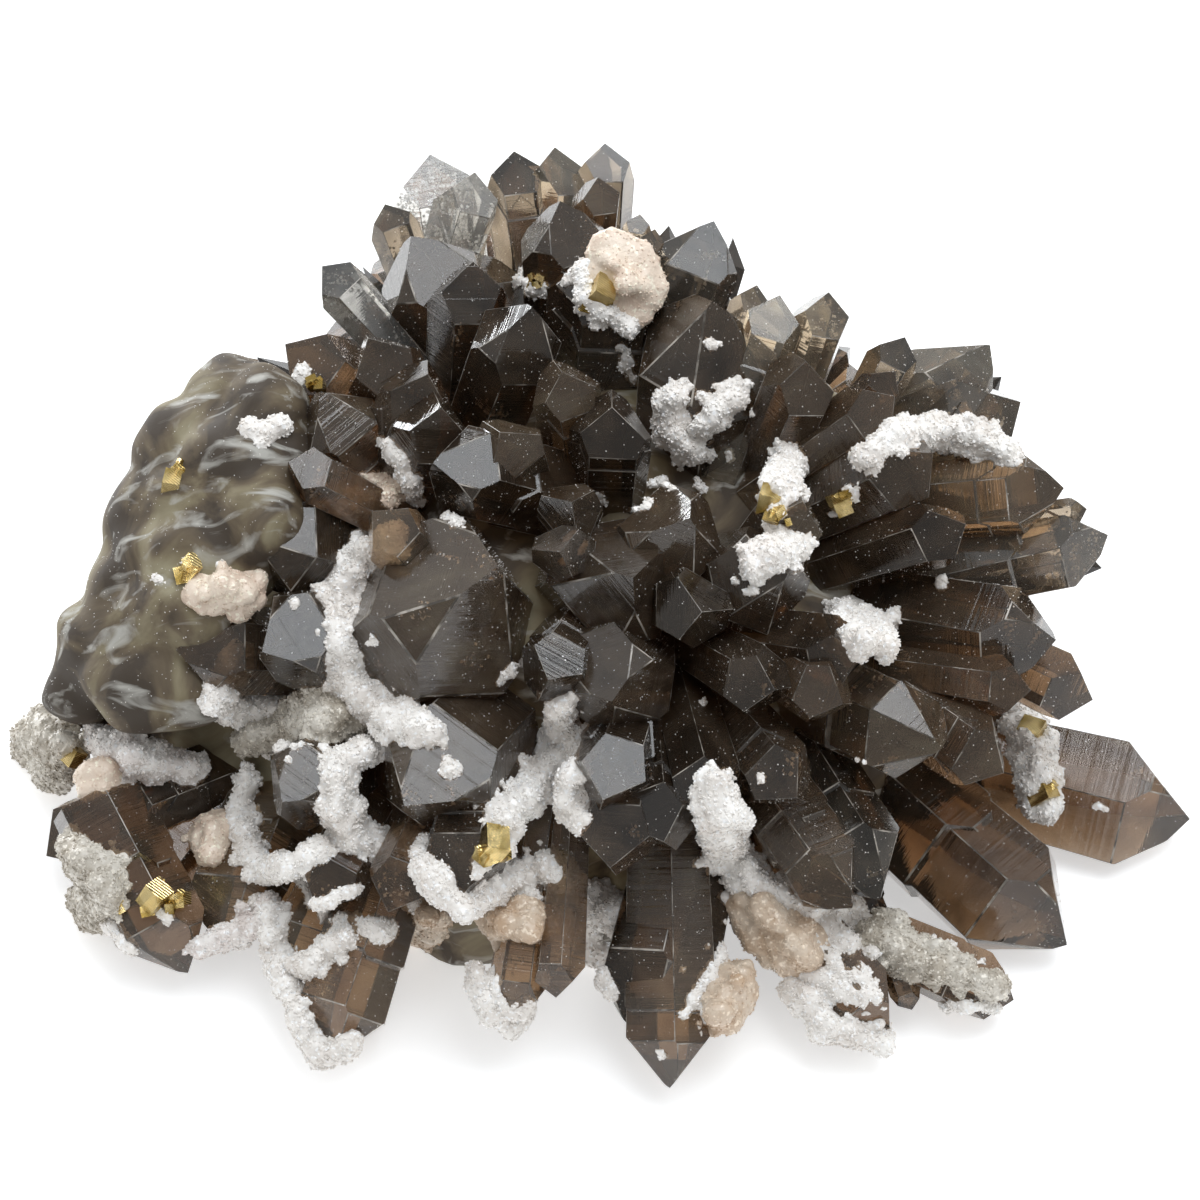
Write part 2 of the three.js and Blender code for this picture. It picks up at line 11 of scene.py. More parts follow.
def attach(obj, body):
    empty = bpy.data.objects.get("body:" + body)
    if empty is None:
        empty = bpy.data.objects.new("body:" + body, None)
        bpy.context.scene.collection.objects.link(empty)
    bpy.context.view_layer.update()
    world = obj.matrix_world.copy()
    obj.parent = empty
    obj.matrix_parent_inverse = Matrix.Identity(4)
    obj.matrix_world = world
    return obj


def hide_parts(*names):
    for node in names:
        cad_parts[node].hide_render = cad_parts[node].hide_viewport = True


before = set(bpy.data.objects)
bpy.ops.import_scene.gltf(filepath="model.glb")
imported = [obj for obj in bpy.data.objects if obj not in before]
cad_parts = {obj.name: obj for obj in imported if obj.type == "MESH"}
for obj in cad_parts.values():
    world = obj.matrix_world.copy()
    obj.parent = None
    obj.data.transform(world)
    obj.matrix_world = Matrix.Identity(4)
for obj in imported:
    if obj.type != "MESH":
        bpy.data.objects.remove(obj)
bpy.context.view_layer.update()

# Calcite and pyrite on a cluster of smoky quartz. Sizes are in millimetres until a mesh is made.
METRE = 0.001

# The cluster's driving sizes, as in the solids
DOME = np.array([100.0, 86.0, 78.0])
ROOT = np.array([75.0, 61.0, 55.0])
ROOT_MIDDLE = np.array([-2.0, -3.0, 2.0])
HEART = np.array([-4.0, 2.0, 16.0])
ROOT_REACH = 0.9
SHORTEST = 16.0
LOWEST_TIP = 7.0
PRISM_TAPER = math.radians(2)
RHOMB_TILT = math.radians(51.8)
SIX_ENDED = 14.0
# How near to its axis a crystal's sides stand, as shares of half its width, and how far its small ends
# stand back from the tip, as shares of its width: the least and how much they vary
SIDE_SHARE = 0.94
SIDE_LEAST = 0.86
SIDE_VARIES = 0.24
SMALL_END_LEAST = 0.02
SMALL_END_VARIES = 0.1
# How far edges are cut back, as a share of a crystal's width
CHIP = 0.0028
# Crystals wider than this many mm have growth steps where their own number is over the second value
STEPPED_WIDTH = 9
STEPPED_OVER = 0.45
# How far a stepped body stands back from the tip, in widths, and how many times as wide it is: the least
# and how much they vary
STEP_BACK_LEAST = 0.25
STEP_BACK_VARIES = 0.5
STEP_WIDER_LEAST = 1.012
STEP_WIDER_VARIES = 0.02

# The picture in which places are read, in pixels right and pixels down, seen from the front and looking
# down
PIXEL = 0.169
PICTURE_MIDDLE = 600.0
LOOK_DOWN = math.radians(55)
LOOK_DISTANCE = 800.0
LOOK_AT = np.array([0.0, 0.0, 12.0])
RIGHT = np.array([1.0, 0.0, 0.0])
UPWARD = np.array([0.0, math.sin(LOOK_DOWN), math.cos(LOOK_DOWN)])
VIEWER = np.array([0.0, -math.cos(LOOK_DOWN), math.sin(LOOK_DOWN)])
EYE = LOOK_AT + VIEWER * LOOK_DISTANCE

# Quartz crystals: tip right and down in the picture, width in mm, the way the tip points in degrees (0
# right, 90 up), how many degrees it leans to the viewer, and its turn about its own axis.
BACK_ROW = [
    (430, 154, 14, 98, 12, 10), (475, 172, 11.5, 72, 14, 25), (322, 266, 10, 132, 10, 20),
]
PALE_ROW = [
    (385, 204, 8, 110, 12, 5), (514, 151, 12, 98, 10, 0), (555, 147, 12, 86, 12, 30),
    (605, 143, 11, 88, 16, 12), (714, 221, 16, 66, 18, 8), (640, 214, 5, 80, 12, 0),
    (655, 229, 5, 70, 16, 20), (757, 285, 7, 70, 16, 14), (780, 295, 11, 72, 18, 4),
    (829, 292, 11, 72, 22, 24), (905, 337, 8.5, 62, 14, 10), (990, 345, 18, 46, 14, 2),
    (1021, 402, 14, 18, 14, 30), (1087, 509, 5, 6, 8, 20), (1108, 535, 15, 13, 6, 30),
    (880, 900, 17, 300, 36, 4),
]
SMOKY = [
    # upper left shoulder
    (598, 177, 9, 86, 28, 28), (560, 201, 15.5, 94, 30, 30), (411, 236, 20, 112, 32, 26),
    (473, 261, 13, 84, 36, 12), (532, 307, 17, 66, 44, 34), (285, 344, 14, 142, 26, 8),
    (320, 392, 14.5, 118, 40, 20), (368, 338, 13, 118, 42, 2), (428, 374, 13, 60, 52, 16),
    (441, 407, 12.5, 62, 56, 30), (433, 463, 16, 166, 44, 30), (372, 511, 12, 132, 34, 10),
    (288, 462, 9, 152, 30, 24),
    # middle, facing the viewer
    (612, 240, 19, 84, 42, 6), (712, 301, 26, 84, 46, 26), (806, 361, 12, 68, 46, 30),
    (562, 372, 12, 100, 56, 12), (612, 407, 13, 86, 58, 2), (500, 432, 12, 110, 62, 22),
    (572, 502, 10.5, 90, 76, 8), (560, 552, 10, 170, 84, 24), (633, 578, 22, 20, 78, 10),
    (690, 518, 18, 48, 66, 26), (498, 566, 31, 37, 54, 60), (548, 680, 12, 236, 68, 6),
    (612, 702, 19, 262, 72, 30), (702, 612, 13, 340, 74, 20), (803, 501, 12, 52, 56, 28),
    (788, 574, 17, 8, 64, 4), (775, 690, 11, 330, 60, 22), (843, 704, 10.5, 328, 50, 12),
    (862, 655, 12, 352, 42, 30), (797, 798, 12, 310, 50, 8), (714, 812, 12, 284, 50, 26),
    # right fan
    (895, 371, 7, 44, 26, 18), (895, 396, 11, 34, 30, 4), (933, 453, 14, 24, 36, 28),
    (1064, 488, 15, 4, 16, 8), (966, 524, 12, 18, 38, 14), (1056, 640, 17, 350, 26, 32),
    (1031, 690, 10, 352, 26, 6), (1093, 700, 11.5, 334, 14, 22), (1004, 773, 12, 324, 32, 12),
    (942, 748, 16, 336, 42, 28), (1190, 819, 21, 346, 8, 30), (1067, 945, 24, 318, 18, 26),
    (852, 908, 15, 306, 26, 24),
    # front fan
    (1014, 1000, 11, 336, 4, 16), (890, 1038, 14, 312, 4, 28), (912, 1010, 5, 290, 4, 4),
    (640, 1036, 20.5, 257, 22, 30), (670, 1088, 15, 271, 4, 30), (610, 868, 14, 258, 44, 12),
    (664, 842, 12, 274, 52, 22), (603, 800, 13, 250, 56, 2), (556, 998, 9, 266, 12, 20),
    (512, 1016, 9.5, 262, 8, 8), (455, 902, 15, 256, 34, 26), (388, 912, 12, 246, 34, 6),
    (330, 1061, 16.5, 252, 8, 30), (290, 978, 14, 246, 24, 14), (316, 909, 12, 240, 36, 2),
    (282, 802, 16, 216, 56, 22), (404, 806, 24, 226, 54, 10), (222, 946, 18, 250, 30, 32),
    (188, 973, 16, 298, 8, 8),
    # left fan
    (46, 856, 14, 205, 16, 24), (112, 914, 15, 232, 18, 4), (103, 817, 13, 202, 24, 30),
    (52, 703, 15, 184, 16, 12), (262, 652, 17, 198, 52, 18), (245, 532, 17, 164, 42, 28),
    (176, 650, 15, 176, 40, 6),
]
# Crystals on the far side: the picture place that each tip lies behind, its height and its width in mm
FAR_SIDE = [
    (162, 522, 12, 15), (214, 452, 12, 14), (277, 388, 13, 16), (335, 322, 14, 13), (385, 255, 14, 15),
    (442, 207, 14, 13), (505, 194, 14, 17), (575, 188, 15, 14), (646, 262, 14, 16), (715, 264, 14, 13),
    (790, 334, 14, 15), (865, 376, 13, 12), (945, 384, 13, 15), (998, 454, 12, 13), (352, 388, 32, 16),
    (408, 300, 34, 15), (472, 252, 36, 16), (548, 244, 37, 17), (640, 290, 36, 15), (735, 330, 34, 16),
    (825, 376, 30, 15), (915, 414, 27, 14),
]
# Rough quartz of the left wall, as worn blocks: place, and half sizes across, up the picture and to the
# viewer
BLOCKS = [
    ((236, 402), (8, 8, 9)), ((196, 452), (10, 9, 10)), ((250, 470), (12, 10, 10)),
    ((158, 518), (9, 9, 11)), ((212, 560), (12, 10, 9)), ((134, 588), (8, 8, 12)),
    ((112, 640), (9, 8, 12)), ((160, 680), (12, 9, 10)),
]
# Fill between the worn blocks and beside them, with the same values
WALL_FILL = [
    ((265, 420), (8, 9, 10)), ((222, 430), (8, 8, 10)), ((205, 505), (11, 9, 12)),
    ((262, 520), (9, 9, 12)), ((165, 560), (9, 9, 12)), ((188, 610), (11, 9, 12)),
    ((140, 632), (10, 9, 12)), ((100, 660), (7, 8, 11)), ((84, 690), (7, 6, 9)),
]


def wobble(n):
    """A steady number from 0 to 1 for each n: the fraction of 43758.5453 times the sine of 12.9898 n."""
    s = np.sin(np.asarray(n, float) * 12.9898) * 43758.5453
    return s - np.floor(s)


def unit(v):
    """A vector brought to length 1."""
    return v / np.linalg.norm(v)


def point_at(place, depth):
    """The point of a picture place: its two offsets times one pixel's size, drawn in as it comes to the
    viewer."""
    a = (place[0] - PICTURE_MIDDLE) * PIXEL
    b = (PICTURE_MIDDLE - place[1]) * PIXEL
    return LOOK_AT + VIEWER * depth + (RIGHT * a + UPWARD * b) * (1 - depth / LOOK_DISTANCE)


def dome_depth(place):
    """Where a place's ray first meets the dome x2/a2 + y2/b2 + z2/c2 = 1, or passes nearest, over the
    floor."""
    start = point_at(place, 0.0)
    step = point_at(place, 1.0) - start
    p, q = start / DOME, step / DOME
    half = p @ q / (q @ q)
    inside = half * half - (p @ p - 1) / (q @ q)
    return max(-half + math.sqrt(max(inside, 0.0)), (LOWEST_TIP - start[2]) / step[2])


def axis_of(head, lean):
    """The unit axis at `head` degrees round in the picture, tipped `lean` degrees to the viewer."""
    heading, tilt = math.radians(head), math.radians(lean)
    across = RIGHT * math.cos(heading) + UPWARD * math.sin(heading)
    return math.cos(tilt) * across + math.sin(tilt) * VIEWER


def frame_along(axis, turn):
    """A basis whose third column is the axis and whose first leans to the viewer, turned about the
    axis."""
    towards = UPWARD if abs(axis @ VIEWER) > 0.97 else VIEWER
    x = unit(towards - axis * (towards @ axis))
    y = np.cross(axis, x)
    t = math.radians(turn)
    x2 = x * math.cos(t) + y * math.sin(t)
    return np.stack([x2, np.cross(axis, x2), axis], axis=1)


def length_to_root(tip, axis):
    """How far back from its tip a crystal runs to the inner root ellipsoid, by the quadratic of line and
    ellipsoid."""
    inner = ROOT * ROOT_REACH
    p = (tip - ROOT_MIDDLE) / inner
    q = -axis / inner
    half = p @ q / (q @ q)
    inside = half * half - (p @ p - 1) / (q @ q)
    return max(-half - math.sqrt(max(inside, 0.0)), SHORTEST)


# Planes whose triple product is under the first value don't meet in a corner. Then how far a corner may
# stand past a plane, and how near two corners may be before they count as one, in mm
PARALLEL = 1e-5
PAST_PLANE = 1e-4
ONE_CORNER = 0.03


def corners_of(normals, reach):
    """Corners of the convex body n . p <= d: every three planes' meeting point that is inside all the
    planes."""
    picks = np.array(list(combinations(range(len(normals)), 3)))
    a = normals[picks]
    det = np.linalg.det(a)
    good = np.abs(det) > PARALLEL
    p = np.linalg.solve(a[good], reach[picks][good][:, :, None])[:, :, 0]
    p = p[(p @ normals.T <= reach + PAST_PLANE).all(axis=1)]
    _, first = np.unique(np.round(p, 2), axis=0, return_index=True)
    p = p[np.sort(first)]
    apart = np.linalg.norm(p[:, None] - p[None], axis=2) > ONE_CORNER
    keep = (apart | (np.arange(len(p))[:, None] <= np.arange(len(p))[None])).all(axis=1)
    return p[keep]


def crystal_planes(number, wide, length, spread, chip):
    """Six tapered prism sides at uneven distances, three large end faces that meet at the tip, three
    small ones between them on a wide crystal, a flat foot, and narrow worn facets that cut each edge back
    by `chip`. The third result is how many of the planes come before the worn ones."""
    i = np.arange(6)
    a = i * math.pi / 3
    uneven = SIDE_LEAST + SIDE_VARIES * wobble(number * 7 + i)
    side = np.stack([np.cos(a) * math.cos(PRISM_TAPER), np.sin(a) * math.cos(PRISM_TAPER),
                     np.full(6, -math.sin(PRISM_TAPER))], axis=1)
    side_reach = wide / 2 * SIDE_SHARE * uneven * spread
    end = np.stack([np.cos(a) * math.sin(RHOMB_TILT), np.sin(a) * math.sin(RHOMB_TILT),
                    np.full(6, math.cos(RHOMB_TILT))], axis=1)
    set_back = wide * (SMALL_END_LEAST + SMALL_END_VARIES * wobble(number * 11 + i))
    end_reach = np.where(i % 2 == 1, set_back, 0.0)
    used = np.ones(6, bool) if wide > SIX_ENDED else i % 2 == 0
    normals = [side, end[used], np.array([[0.0, 0.0, -1.0]])]
    reach = [side_reach, end_reach[used], np.array([length])]
    for first, second, f_reach, s_reach in (
            (side, np.roll(side, -1, axis=0), side_reach, np.roll(side_reach, -1)),
            (side[used], end[used], side_reach[used], end_reach[used]),
            (end[used], np.roll(end[used], -1, axis=0), end_reach[used], np.roll(end_reach[used], -1))):
        between = first + second
        size = np.linalg.norm(between, axis=1)
        normals.append(between / size[:, None])
        reach.append((f_reach + s_reach) / size - chip)
    return np.concatenate(normals), np.concatenate(reach), 7 + used.sum()


def mesh_object(name, points, faces):
    """A mesh object from points in millimetres and faces of point numbers."""
    mesh = bpy.data.meshes.new(name)
    mesh.from_pydata((np.asarray(points) * METRE).tolist(), [], faces)
    mesh.update()
    piece = bpy.data.objects.new(name, mesh)
    bpy.context.scene.collection.objects.link(piece)
    return piece


def triangle_object(name, points, triangles, smooth=False):
    """A mesh object from whole arrays of points (mm) and triangles, put in with foreach_set."""
    mesh = bpy.data.meshes.new(name)
    mesh.vertices.add(len(points))
    mesh.vertices.foreach_set("co", (np.asarray(points) * METRE).astype(np.float32).ravel())
    count = len(triangles)
    mesh.loops.add(3 * count)
    mesh.loops.foreach_set("vertex_index", np.asarray(triangles, np.int32).ravel())
    mesh.polygons.add(count)
    mesh.polygons.foreach_set("loop_start", np.arange(0, 3 * count, 3, dtype=np.int32))
    mesh.polygons.foreach_set("use_smooth", np.full(count, smooth))
    mesh.update(calc_edges=True)
    mesh.validate()
    piece = bpy.data.objects.new(name, mesh)
    bpy.context.scene.collection.objects.link(piece)
    return piece


def hull_object(name, points):
    """The closed convex mesh round a set of corners."""
    piece = mesh_object(name, points, [])
    hull = bmesh.new()
    hull.from_mesh(piece.data)
    bmesh.ops.convex_hull(hull, input=hull.verts)
    bmesh.ops.recalc_face_normals(hull, faces=hull.faces)
    hull.to_mesh(piece.data)
    hull.free()
    return piece


def number_of(right, down):
    """The number that a crystal's own shape is worked out from, given by its place."""
    return right + 3 * down


def placed(rows):
    """Tip, axis, width, turn and number of each table row, with the tip on the dome."""
    out = []
    for right, down, wide, head, lean, turn in rows:
        tip = point_at((right, down), dome_depth((right, down)))
        out.append((tip, axis_of(head, lean), wide, turn, number_of(right, down)))
    return out


def placed_far_side():
    """The hidden far side's crystals: each tip is on its place's ray at its own height, pointing away
    from the heart of the cluster."""
    out = []
    for right, down, height, wide in FAR_SIDE:
        start = point_at((right, down), 0.0)
        step = point_at((right, down), 1.0) - start
        tip = start + step * (height - start[2]) / step[2]
        number = number_of(right, down)
        out.append((tip, unit(tip - HEART), wide, 60 * wobble(number), number))
    return out


def crystal_bodies(crystals):
    """Each crystal as a main body and, on about half of the wider ones, a stepped body: the same form a
    little wider and set back from the tip, so that its end stands as growth steps on the sides. Both are
    cut off at the rest plane. Each body is its corners, and its axis, tip, planes and number."""
    bodies = []
    for tip, axis, wide, turn, number in crystals:
        basis = frame_along(axis, turn)
        length = length_to_root(tip, axis)
        steps = [(0.0, 1.0)]
        if wide > STEPPED_WIDTH and wobble(number + 0.5) > STEPPED_OVER:
            step_back = wide * (STEP_BACK_LEAST + STEP_BACK_VARIES * wobble(number + 0.3))
            steps.append((step_back, STEP_WIDER_LEAST + STEP_WIDER_VARIES * wobble(number + 0.7)))
        for back, spread in steps:
            normals, reach, flats = crystal_planes(number, wide, length - back, spread, CHIP * wide)
            foot = tip - axis * back
            normals = np.concatenate([normals, -basis[2:]])
            worn = np.append(np.arange(len(reach)) >= flats, False)
            reach = np.append(reach, foot[2])
            world = normals @ basis.T
            bodies.append({"corners": corners_of(normals, reach) @ basis.T + foot, "axis": axis, "tip": tip,
                           "normals": world, "reach": reach + world @ foot, "number": number, "worn": worn})
    return bodies


def applied(piece):
    """A new mesh of a piece with its modifiers applied."""
    return bpy.data.meshes.new_from_object(piece.evaluated_get(bpy.context.evaluated_depsgraph_get()))


def united(name, bodies):
    """One closed mesh from many convex bodies: neighbours are joined two by two until one is left."""
    parts = [hull_object(f"{name}_{i}", body["corners"]) for i, body in enumerate(bodies)]
    while len(parts) > 1:
        left = []
        for first, second in zip(parts[::2], parts[1::2]):
            join = first.modifiers.new("join", "BOOLEAN")
            join.operation = "UNION"
            join.solver = "MANIFOLD"
            join.object = second
            mesh = applied(first)
            first.modifiers.clear()
            old = first.data
            first.data = mesh
            bpy.data.meshes.remove(old)
            bpy.data.objects.remove(second)
            left.append(first)
        if len(parts) % 2:
            left.append(parts[-1])
        parts = left
    piece = parts[0]
    piece.name = name
    piece.data.name = name
    piece.data.materials.clear()
    return piece


# How many mm off a plane count as much as a normal at right angles to it
TILT_WEIGHT = 200


def mark_growth(piece, bodies):
    """Writes the corner attribute growth: how far a corner lies along its own crystal's axis in mm, how
    steep its face stands beside that axis (1 on a prism side, 0 across it), and the crystal's own random
    number. A face belongs to the body that has its plane, and a worn facet takes the second material: worn
    edges with a painted highlight in their pale stretches."""
    mesh = piece.data
    count = len(mesh.polygons)
    normal = np.empty(count * 3, np.float32)
    centre = np.empty(count * 3, np.float32)
    mesh.polygons.foreach_get("normal", normal)
    mesh.polygons.foreach_get("center", centre)
    normal, centre = normal.reshape(-1, 3), centre.reshape(-1, 3) / METRE
    planes = np.concatenate([b["normals"] for b in bodies]).astype(np.float32)
    reach = np.concatenate([b["reach"] for b in bodies]).astype(np.float32)
    body_of = np.repeat(np.arange(len(bodies)), [len(b["reach"]) for b in bodies])
    miss = (1 - normal @ planes.T) * TILT_WEIGHT + np.abs(centre @ planes.T - reach[None])
    nearest = np.argmin(miss, axis=1)
    owner = body_of[nearest]
    # Worn facets take the worn edge material, whose pale stretches are partly a painted highlight
    worn = np.concatenate([b["worn"] for b in bodies])[nearest]
    mesh.polygons.foreach_set("material_index", worn.astype(np.int32))
    axis = np.stack([b["axis"] for b in bodies])[owner]
    tip = np.stack([b["tip"] for b in bodies])[owner]
    own = wobble(np.array([b["number"] for b in bodies]) + 0.9)[owner]
    steep = 1 - np.abs((normal * axis).sum(axis=1))
    loops = len(mesh.loops)
    corner = np.empty(loops, np.int32)
    mesh.loops.foreach_get("vertex_index", corner)
    total = np.empty(count, np.int32)
    mesh.polygons.foreach_get("loop_total", total)
    face = np.repeat(np.arange(count), total)
    points = np.empty(len(mesh.vertices) * 3, np.float32)
    mesh.vertices.foreach_get("co", points)
    points = points.reshape(-1, 3) / METRE
    along = ((points[corner] - tip[face]) * axis[face]).sum(axis=1)
    growth = mesh.attributes.new("growth", "FLOAT_VECTOR", "CORNER")
    values = np.stack([along, steep[face], own[face]], axis=1)
    growth.data.foreach_set("vector", values.astype(np.float32).ravel())


# Materials
QUARTZ_INDEX = 1.544


def new_material(name):
    """A material with its node tree, its shader and its Object coordinates."""
    material = bpy.data.materials.new(name)
    material.use_nodes = True
    tree = material.node_tree
    place = tree.nodes.new("ShaderNodeTexCoord")
    return material, tree, tree.nodes["Principled BSDF"], place.outputs["Object"]


def noise_of(tree, vector, scale, detail=4.0, distortion=0.0):
    """Fractal noise over object coordinates, `scale` waves to the metre."""
    noise = tree.nodes.new("ShaderNodeTexNoise")
    noise.inputs["Scale"].default_value = scale
    noise.inputs["Detail"].default_value = detail
    noise.inputs["Distortion"].default_value = distortion
    tree.links.new(vector, noise.inputs["Vector"])
    return noise.outputs["Fac"]


def ramp_of(tree, value, stops):
    """A colour ramp through [place, colour] stops."""
    ramp = tree.nodes.new("ShaderNodeValToRGB")
    places = ramp.color_ramp.elements
    while len(places) < len(stops):
        places.new(0.5)
    for element, (place, colour) in zip(places, stops):
        element.position = place
        element.color = (*colour, 1)
    tree.links.new(value, ramp.inputs["Fac"])
    return ramp.outputs["Color"]


def math_of(tree, operation, first, second):
    """One arithmetic step between two sockets, or a socket and a number."""
    node = tree.nodes.new("ShaderNodeMath")
    node.operation = operation
    for socket, value in zip(node.inputs, (first, second)):
        if isinstance(value, (int, float)):
            socket.default_value = value
        else:
            tree.links.new(value, socket)
    return node.outputs[0]


def mixed(tree, factor, first, second):
    """A mix of two colours by a factor socket; each colour is a socket or three numbers."""
    mix = tree.nodes.new("ShaderNodeMix")
    mix.data_type = "RGBA"
    tree.links.new(factor, mix.inputs["Factor"])
    for socket, value in ((mix.inputs["A"], first), (mix.inputs["B"], second)):
        if isinstance(value, tuple):
            socket.default_value = (*value, 1)
        else:
            tree.links.new(value, socket)
    return mix.outputs["Result"]


def absorbing(material, tint, density):
    """Gives a see-through body its colour: light is absorbed on its way through it."""
    tree = material.node_tree
    absorb = tree.nodes.new("ShaderNodeVolumeAbsorption")
    absorb.inputs["Color"].default_value = (*tint, 1)
    absorb.inputs["Density"].default_value = density
    tree.links.new(absorb.outputs["Volume"], tree.nodes["Material Output"].inputs["Volume"])


def bump_of(tree, height, depth, shader, normal=None):
    """A bump of `depth` metres from a height socket, on top of an earlier bump."""
    bump = tree.nodes.new("ShaderNodeBump")
    bump.inputs["Distance"].default_value = depth
    tree.links.new(height, bump.inputs["Height"])
    if normal:
        tree.links.new(normal, bump.inputs["Normal"])
    tree.links.new(bump.outputs["Normal"], shader.inputs["Normal"])
    return bump.outputs["Normal"]


def quartz_material(name, tint, density, haze, clear, line):
    """Smoky crystal: transmission with quartz's index over an absorbing body, a thin brown haze, growth
    lines `line` metres deep across the prism sides and a faint grain. Lines and haze follow the attribute
    growth."""
    material, tree, shader, place = new_material(name)
    shader.inputs["Transmission Weight"].default_value = clear
    shader.inputs["IOR"].default_value = QUARTZ_INDEX
    absorbing(material, tint, density)
    growth = tree.nodes.new("ShaderNodeAttribute")
    growth.attribute_name = "growth"
    parts = tree.nodes.new("ShaderNodeSeparateXYZ")
    tree.links.new(growth.outputs["Vector"], parts.inputs[0])
    along, steep, own = parts.outputs
    lines = tree.nodes.new("ShaderNodeTexNoise")
    lines.noise_dimensions = "1D"
    lines.inputs["Scale"].default_value = 1.0
    lines.inputs["Detail"].default_value = 3
    lines.inputs["Roughness"].default_value = 0.7
    tree.links.new(math_of(tree, "ADD", along, math_of(tree, "MULTIPLY", own, 100.0)), lines.inputs["W"])
    line_height = math_of(tree, "MULTIPLY", lines.outputs["Fac"], math_of(tree, "MAXIMUM", steep, 0.1))
    grain = noise_of(tree, place, 420, 2)
    cloud = noise_of(tree, place, 90, 4, 0.8)
    first = bump_of(tree, line_height, line, shader)
    bump_of(tree, grain, 0.00001, shader, first)
    own_share = math_of(tree, "MULTIPLY", own, 0.35)
    cloud_share = math_of(tree, "MULTIPLY", cloud, 0.75)
    patch = math_of(tree, "ADD", own_share, cloud_share)
    colour = ramp_of(tree, patch, [[0.36, [0.3 * v for v in haze]], [0.52, [0.75 * v for v in haze]],
                                   [0.64, haze], [0.8, [min(1.0, 1.7 * v) for v in haze]]])
    tree.links.new(colour, shader.inputs["Base Color"])
    tree.links.new(math_of(tree, "MULTIPLY", cloud, 0.1), shader.inputs["Roughness"])
    return material


def worn_edge_highlight_material():
    """Worn crystal edges: rough narrow facets, pale in some stretches and brown in others by noise. The
    pale stretches are partly wear and partly a painted highlight, the light lines that the edges catch.
    """
    material, tree, shader, place = new_material("worn_edge_highlight")
    stretches = noise_of(tree, place, 260, 4)
    # The pale colour is partly wear and partly a painted highlight along the crystal edges
    colour = ramp_of(tree, stretches, [[0.45, (0.05, 0.04, 0.03)], [0.66, (0.42, 0.38, 0.33)]])
    tree.links.new(colour, shader.inputs["Base Color"])
    shader.inputs["Roughness"].default_value = 0.35
    shader.inputs["IOR"].default_value = QUARTZ_INDEX
    return material


def massive_material():
    """Rough massive quartz: a clear olive-brown body with dark brown patches and whitish healed cracks
    that run up to the right, dull, letting a little light through."""
    material, tree, shader, place = new_material("massive_quartz")
    mapping = tree.nodes.new("ShaderNodeMapping")
    mapping.inputs["Rotation"].default_value = (0.3, 0.5, -0.7)
    mapping.inputs["Scale"].default_value = (0.3, 1.0, 0.7)
    tree.links.new(place, mapping.inputs["Vector"])
    veins = noise_of(tree, mapping.outputs["Vector"], 260, 6, 1.0)
    patches = noise_of(tree, place, 80, 5, 0.8)
    ground = ramp_of(tree, patches, [[0.4, (0.05, 0.034, 0.02)], [0.49, (0.13, 0.095, 0.055)],
                                     [0.56, (0.22, 0.18, 0.105)], [0.7, (0.36, 0.32, 0.21)]])
    crack = ramp_of(tree, veins, [[0.55, (0, 0, 0)], [0.7, (1, 1, 1)]])
    tree.links.new(mixed(tree, crack, ground, (0.5, 0.485, 0.44)), shader.inputs["Base Color"])
    shader.inputs["Roughness"].default_value = 0.72
    shader.inputs["IOR"].default_value = QUARTZ_INDEX
    shader.inputs["Transmission Weight"].default_value = 0.2
    absorbing(material, (0.66, 0.58, 0.44), 70)
    bump_of(tree, noise_of(tree, place, 650, 4), 0.00006, shader)
    return material


def calcite_material(name, pale, warm):
    """Sugary calcite: two close tints mixed by slow noise, and bright specks where a fine noise is
    high: partly whiter grains and partly painted glints for the sugary sparkle."""
    material, tree, shader, place = new_material(name)
    ground = ramp_of(tree, noise_of(tree, place, 150, 5), [[0.36, warm], [0.62, pale]])
    # Bright specks: partly whiter grains and partly painted glints of sparkle
    grains = ramp_of(tree, noise_of(tree, place, 1300, 2), [[0.56, (0, 0, 0)], [0.68, (1, 1, 1)]])
    bright = tuple(min(0.95, 1.3 * v) for v in pale)
    tree.links.new(mixed(tree, grains, ground, bright), shader.inputs["Base Color"])
    shader.inputs["Roughness"].default_value = 0.3
    bump_of(tree, noise_of(tree, place, 1500, 3), 0.00015, shader)
    return material


def pyrite_material():
    """Brassy metal: warmer and greener tarnish by noise, fine parallel growth lines as bump."""
    material, tree, shader, place = new_material("pyrite")
    tarnish = noise_of(tree, place, 260, 4)
    colour = ramp_of(tree, tarnish, [[0.4, (0.4, 0.28, 0.08)], [0.58, (0.88, 0.7, 0.34)]])
    tree.links.new(colour, shader.inputs["Base Color"])
    shader.inputs["Metallic"].default_value = 1.0
    shader.inputs["Roughness"].default_value = 0.17
    wave = tree.nodes.new("ShaderNodeTexWave")
    wave.bands_direction = "DIAGONAL"
    wave.inputs["Scale"].default_value = 1300
    wave.inputs["Distortion"].default_value = 1.5
    tree.links.new(place, wave.inputs["Vector"])
    bump_of(tree, wave.outputs["Fac"], 0.0001, shader)
    return material


# Meshes laid over others
def merged_triangles(mesh):
    """A mesh's corners in mm and its triangles, with shared corners merged."""
    points = np.empty(len(mesh.vertices) * 3, np.float32)
    mesh.vertices.foreach_get("co", points)
    points = points.reshape(-1, 3).astype(float) / METRE
    mesh.calc_loop_triangles()
    triangles = np.empty(len(mesh.loop_triangles) * 3, np.int32)
    mesh.loop_triangles.foreach_get("vertices", triangles)
    _, first, same = np.unique(np.round(points, 3), axis=0, return_index=True, return_inverse=True)
    triangles = same.ravel()[triangles.reshape(-1, 3)]
    return points[first], triangles


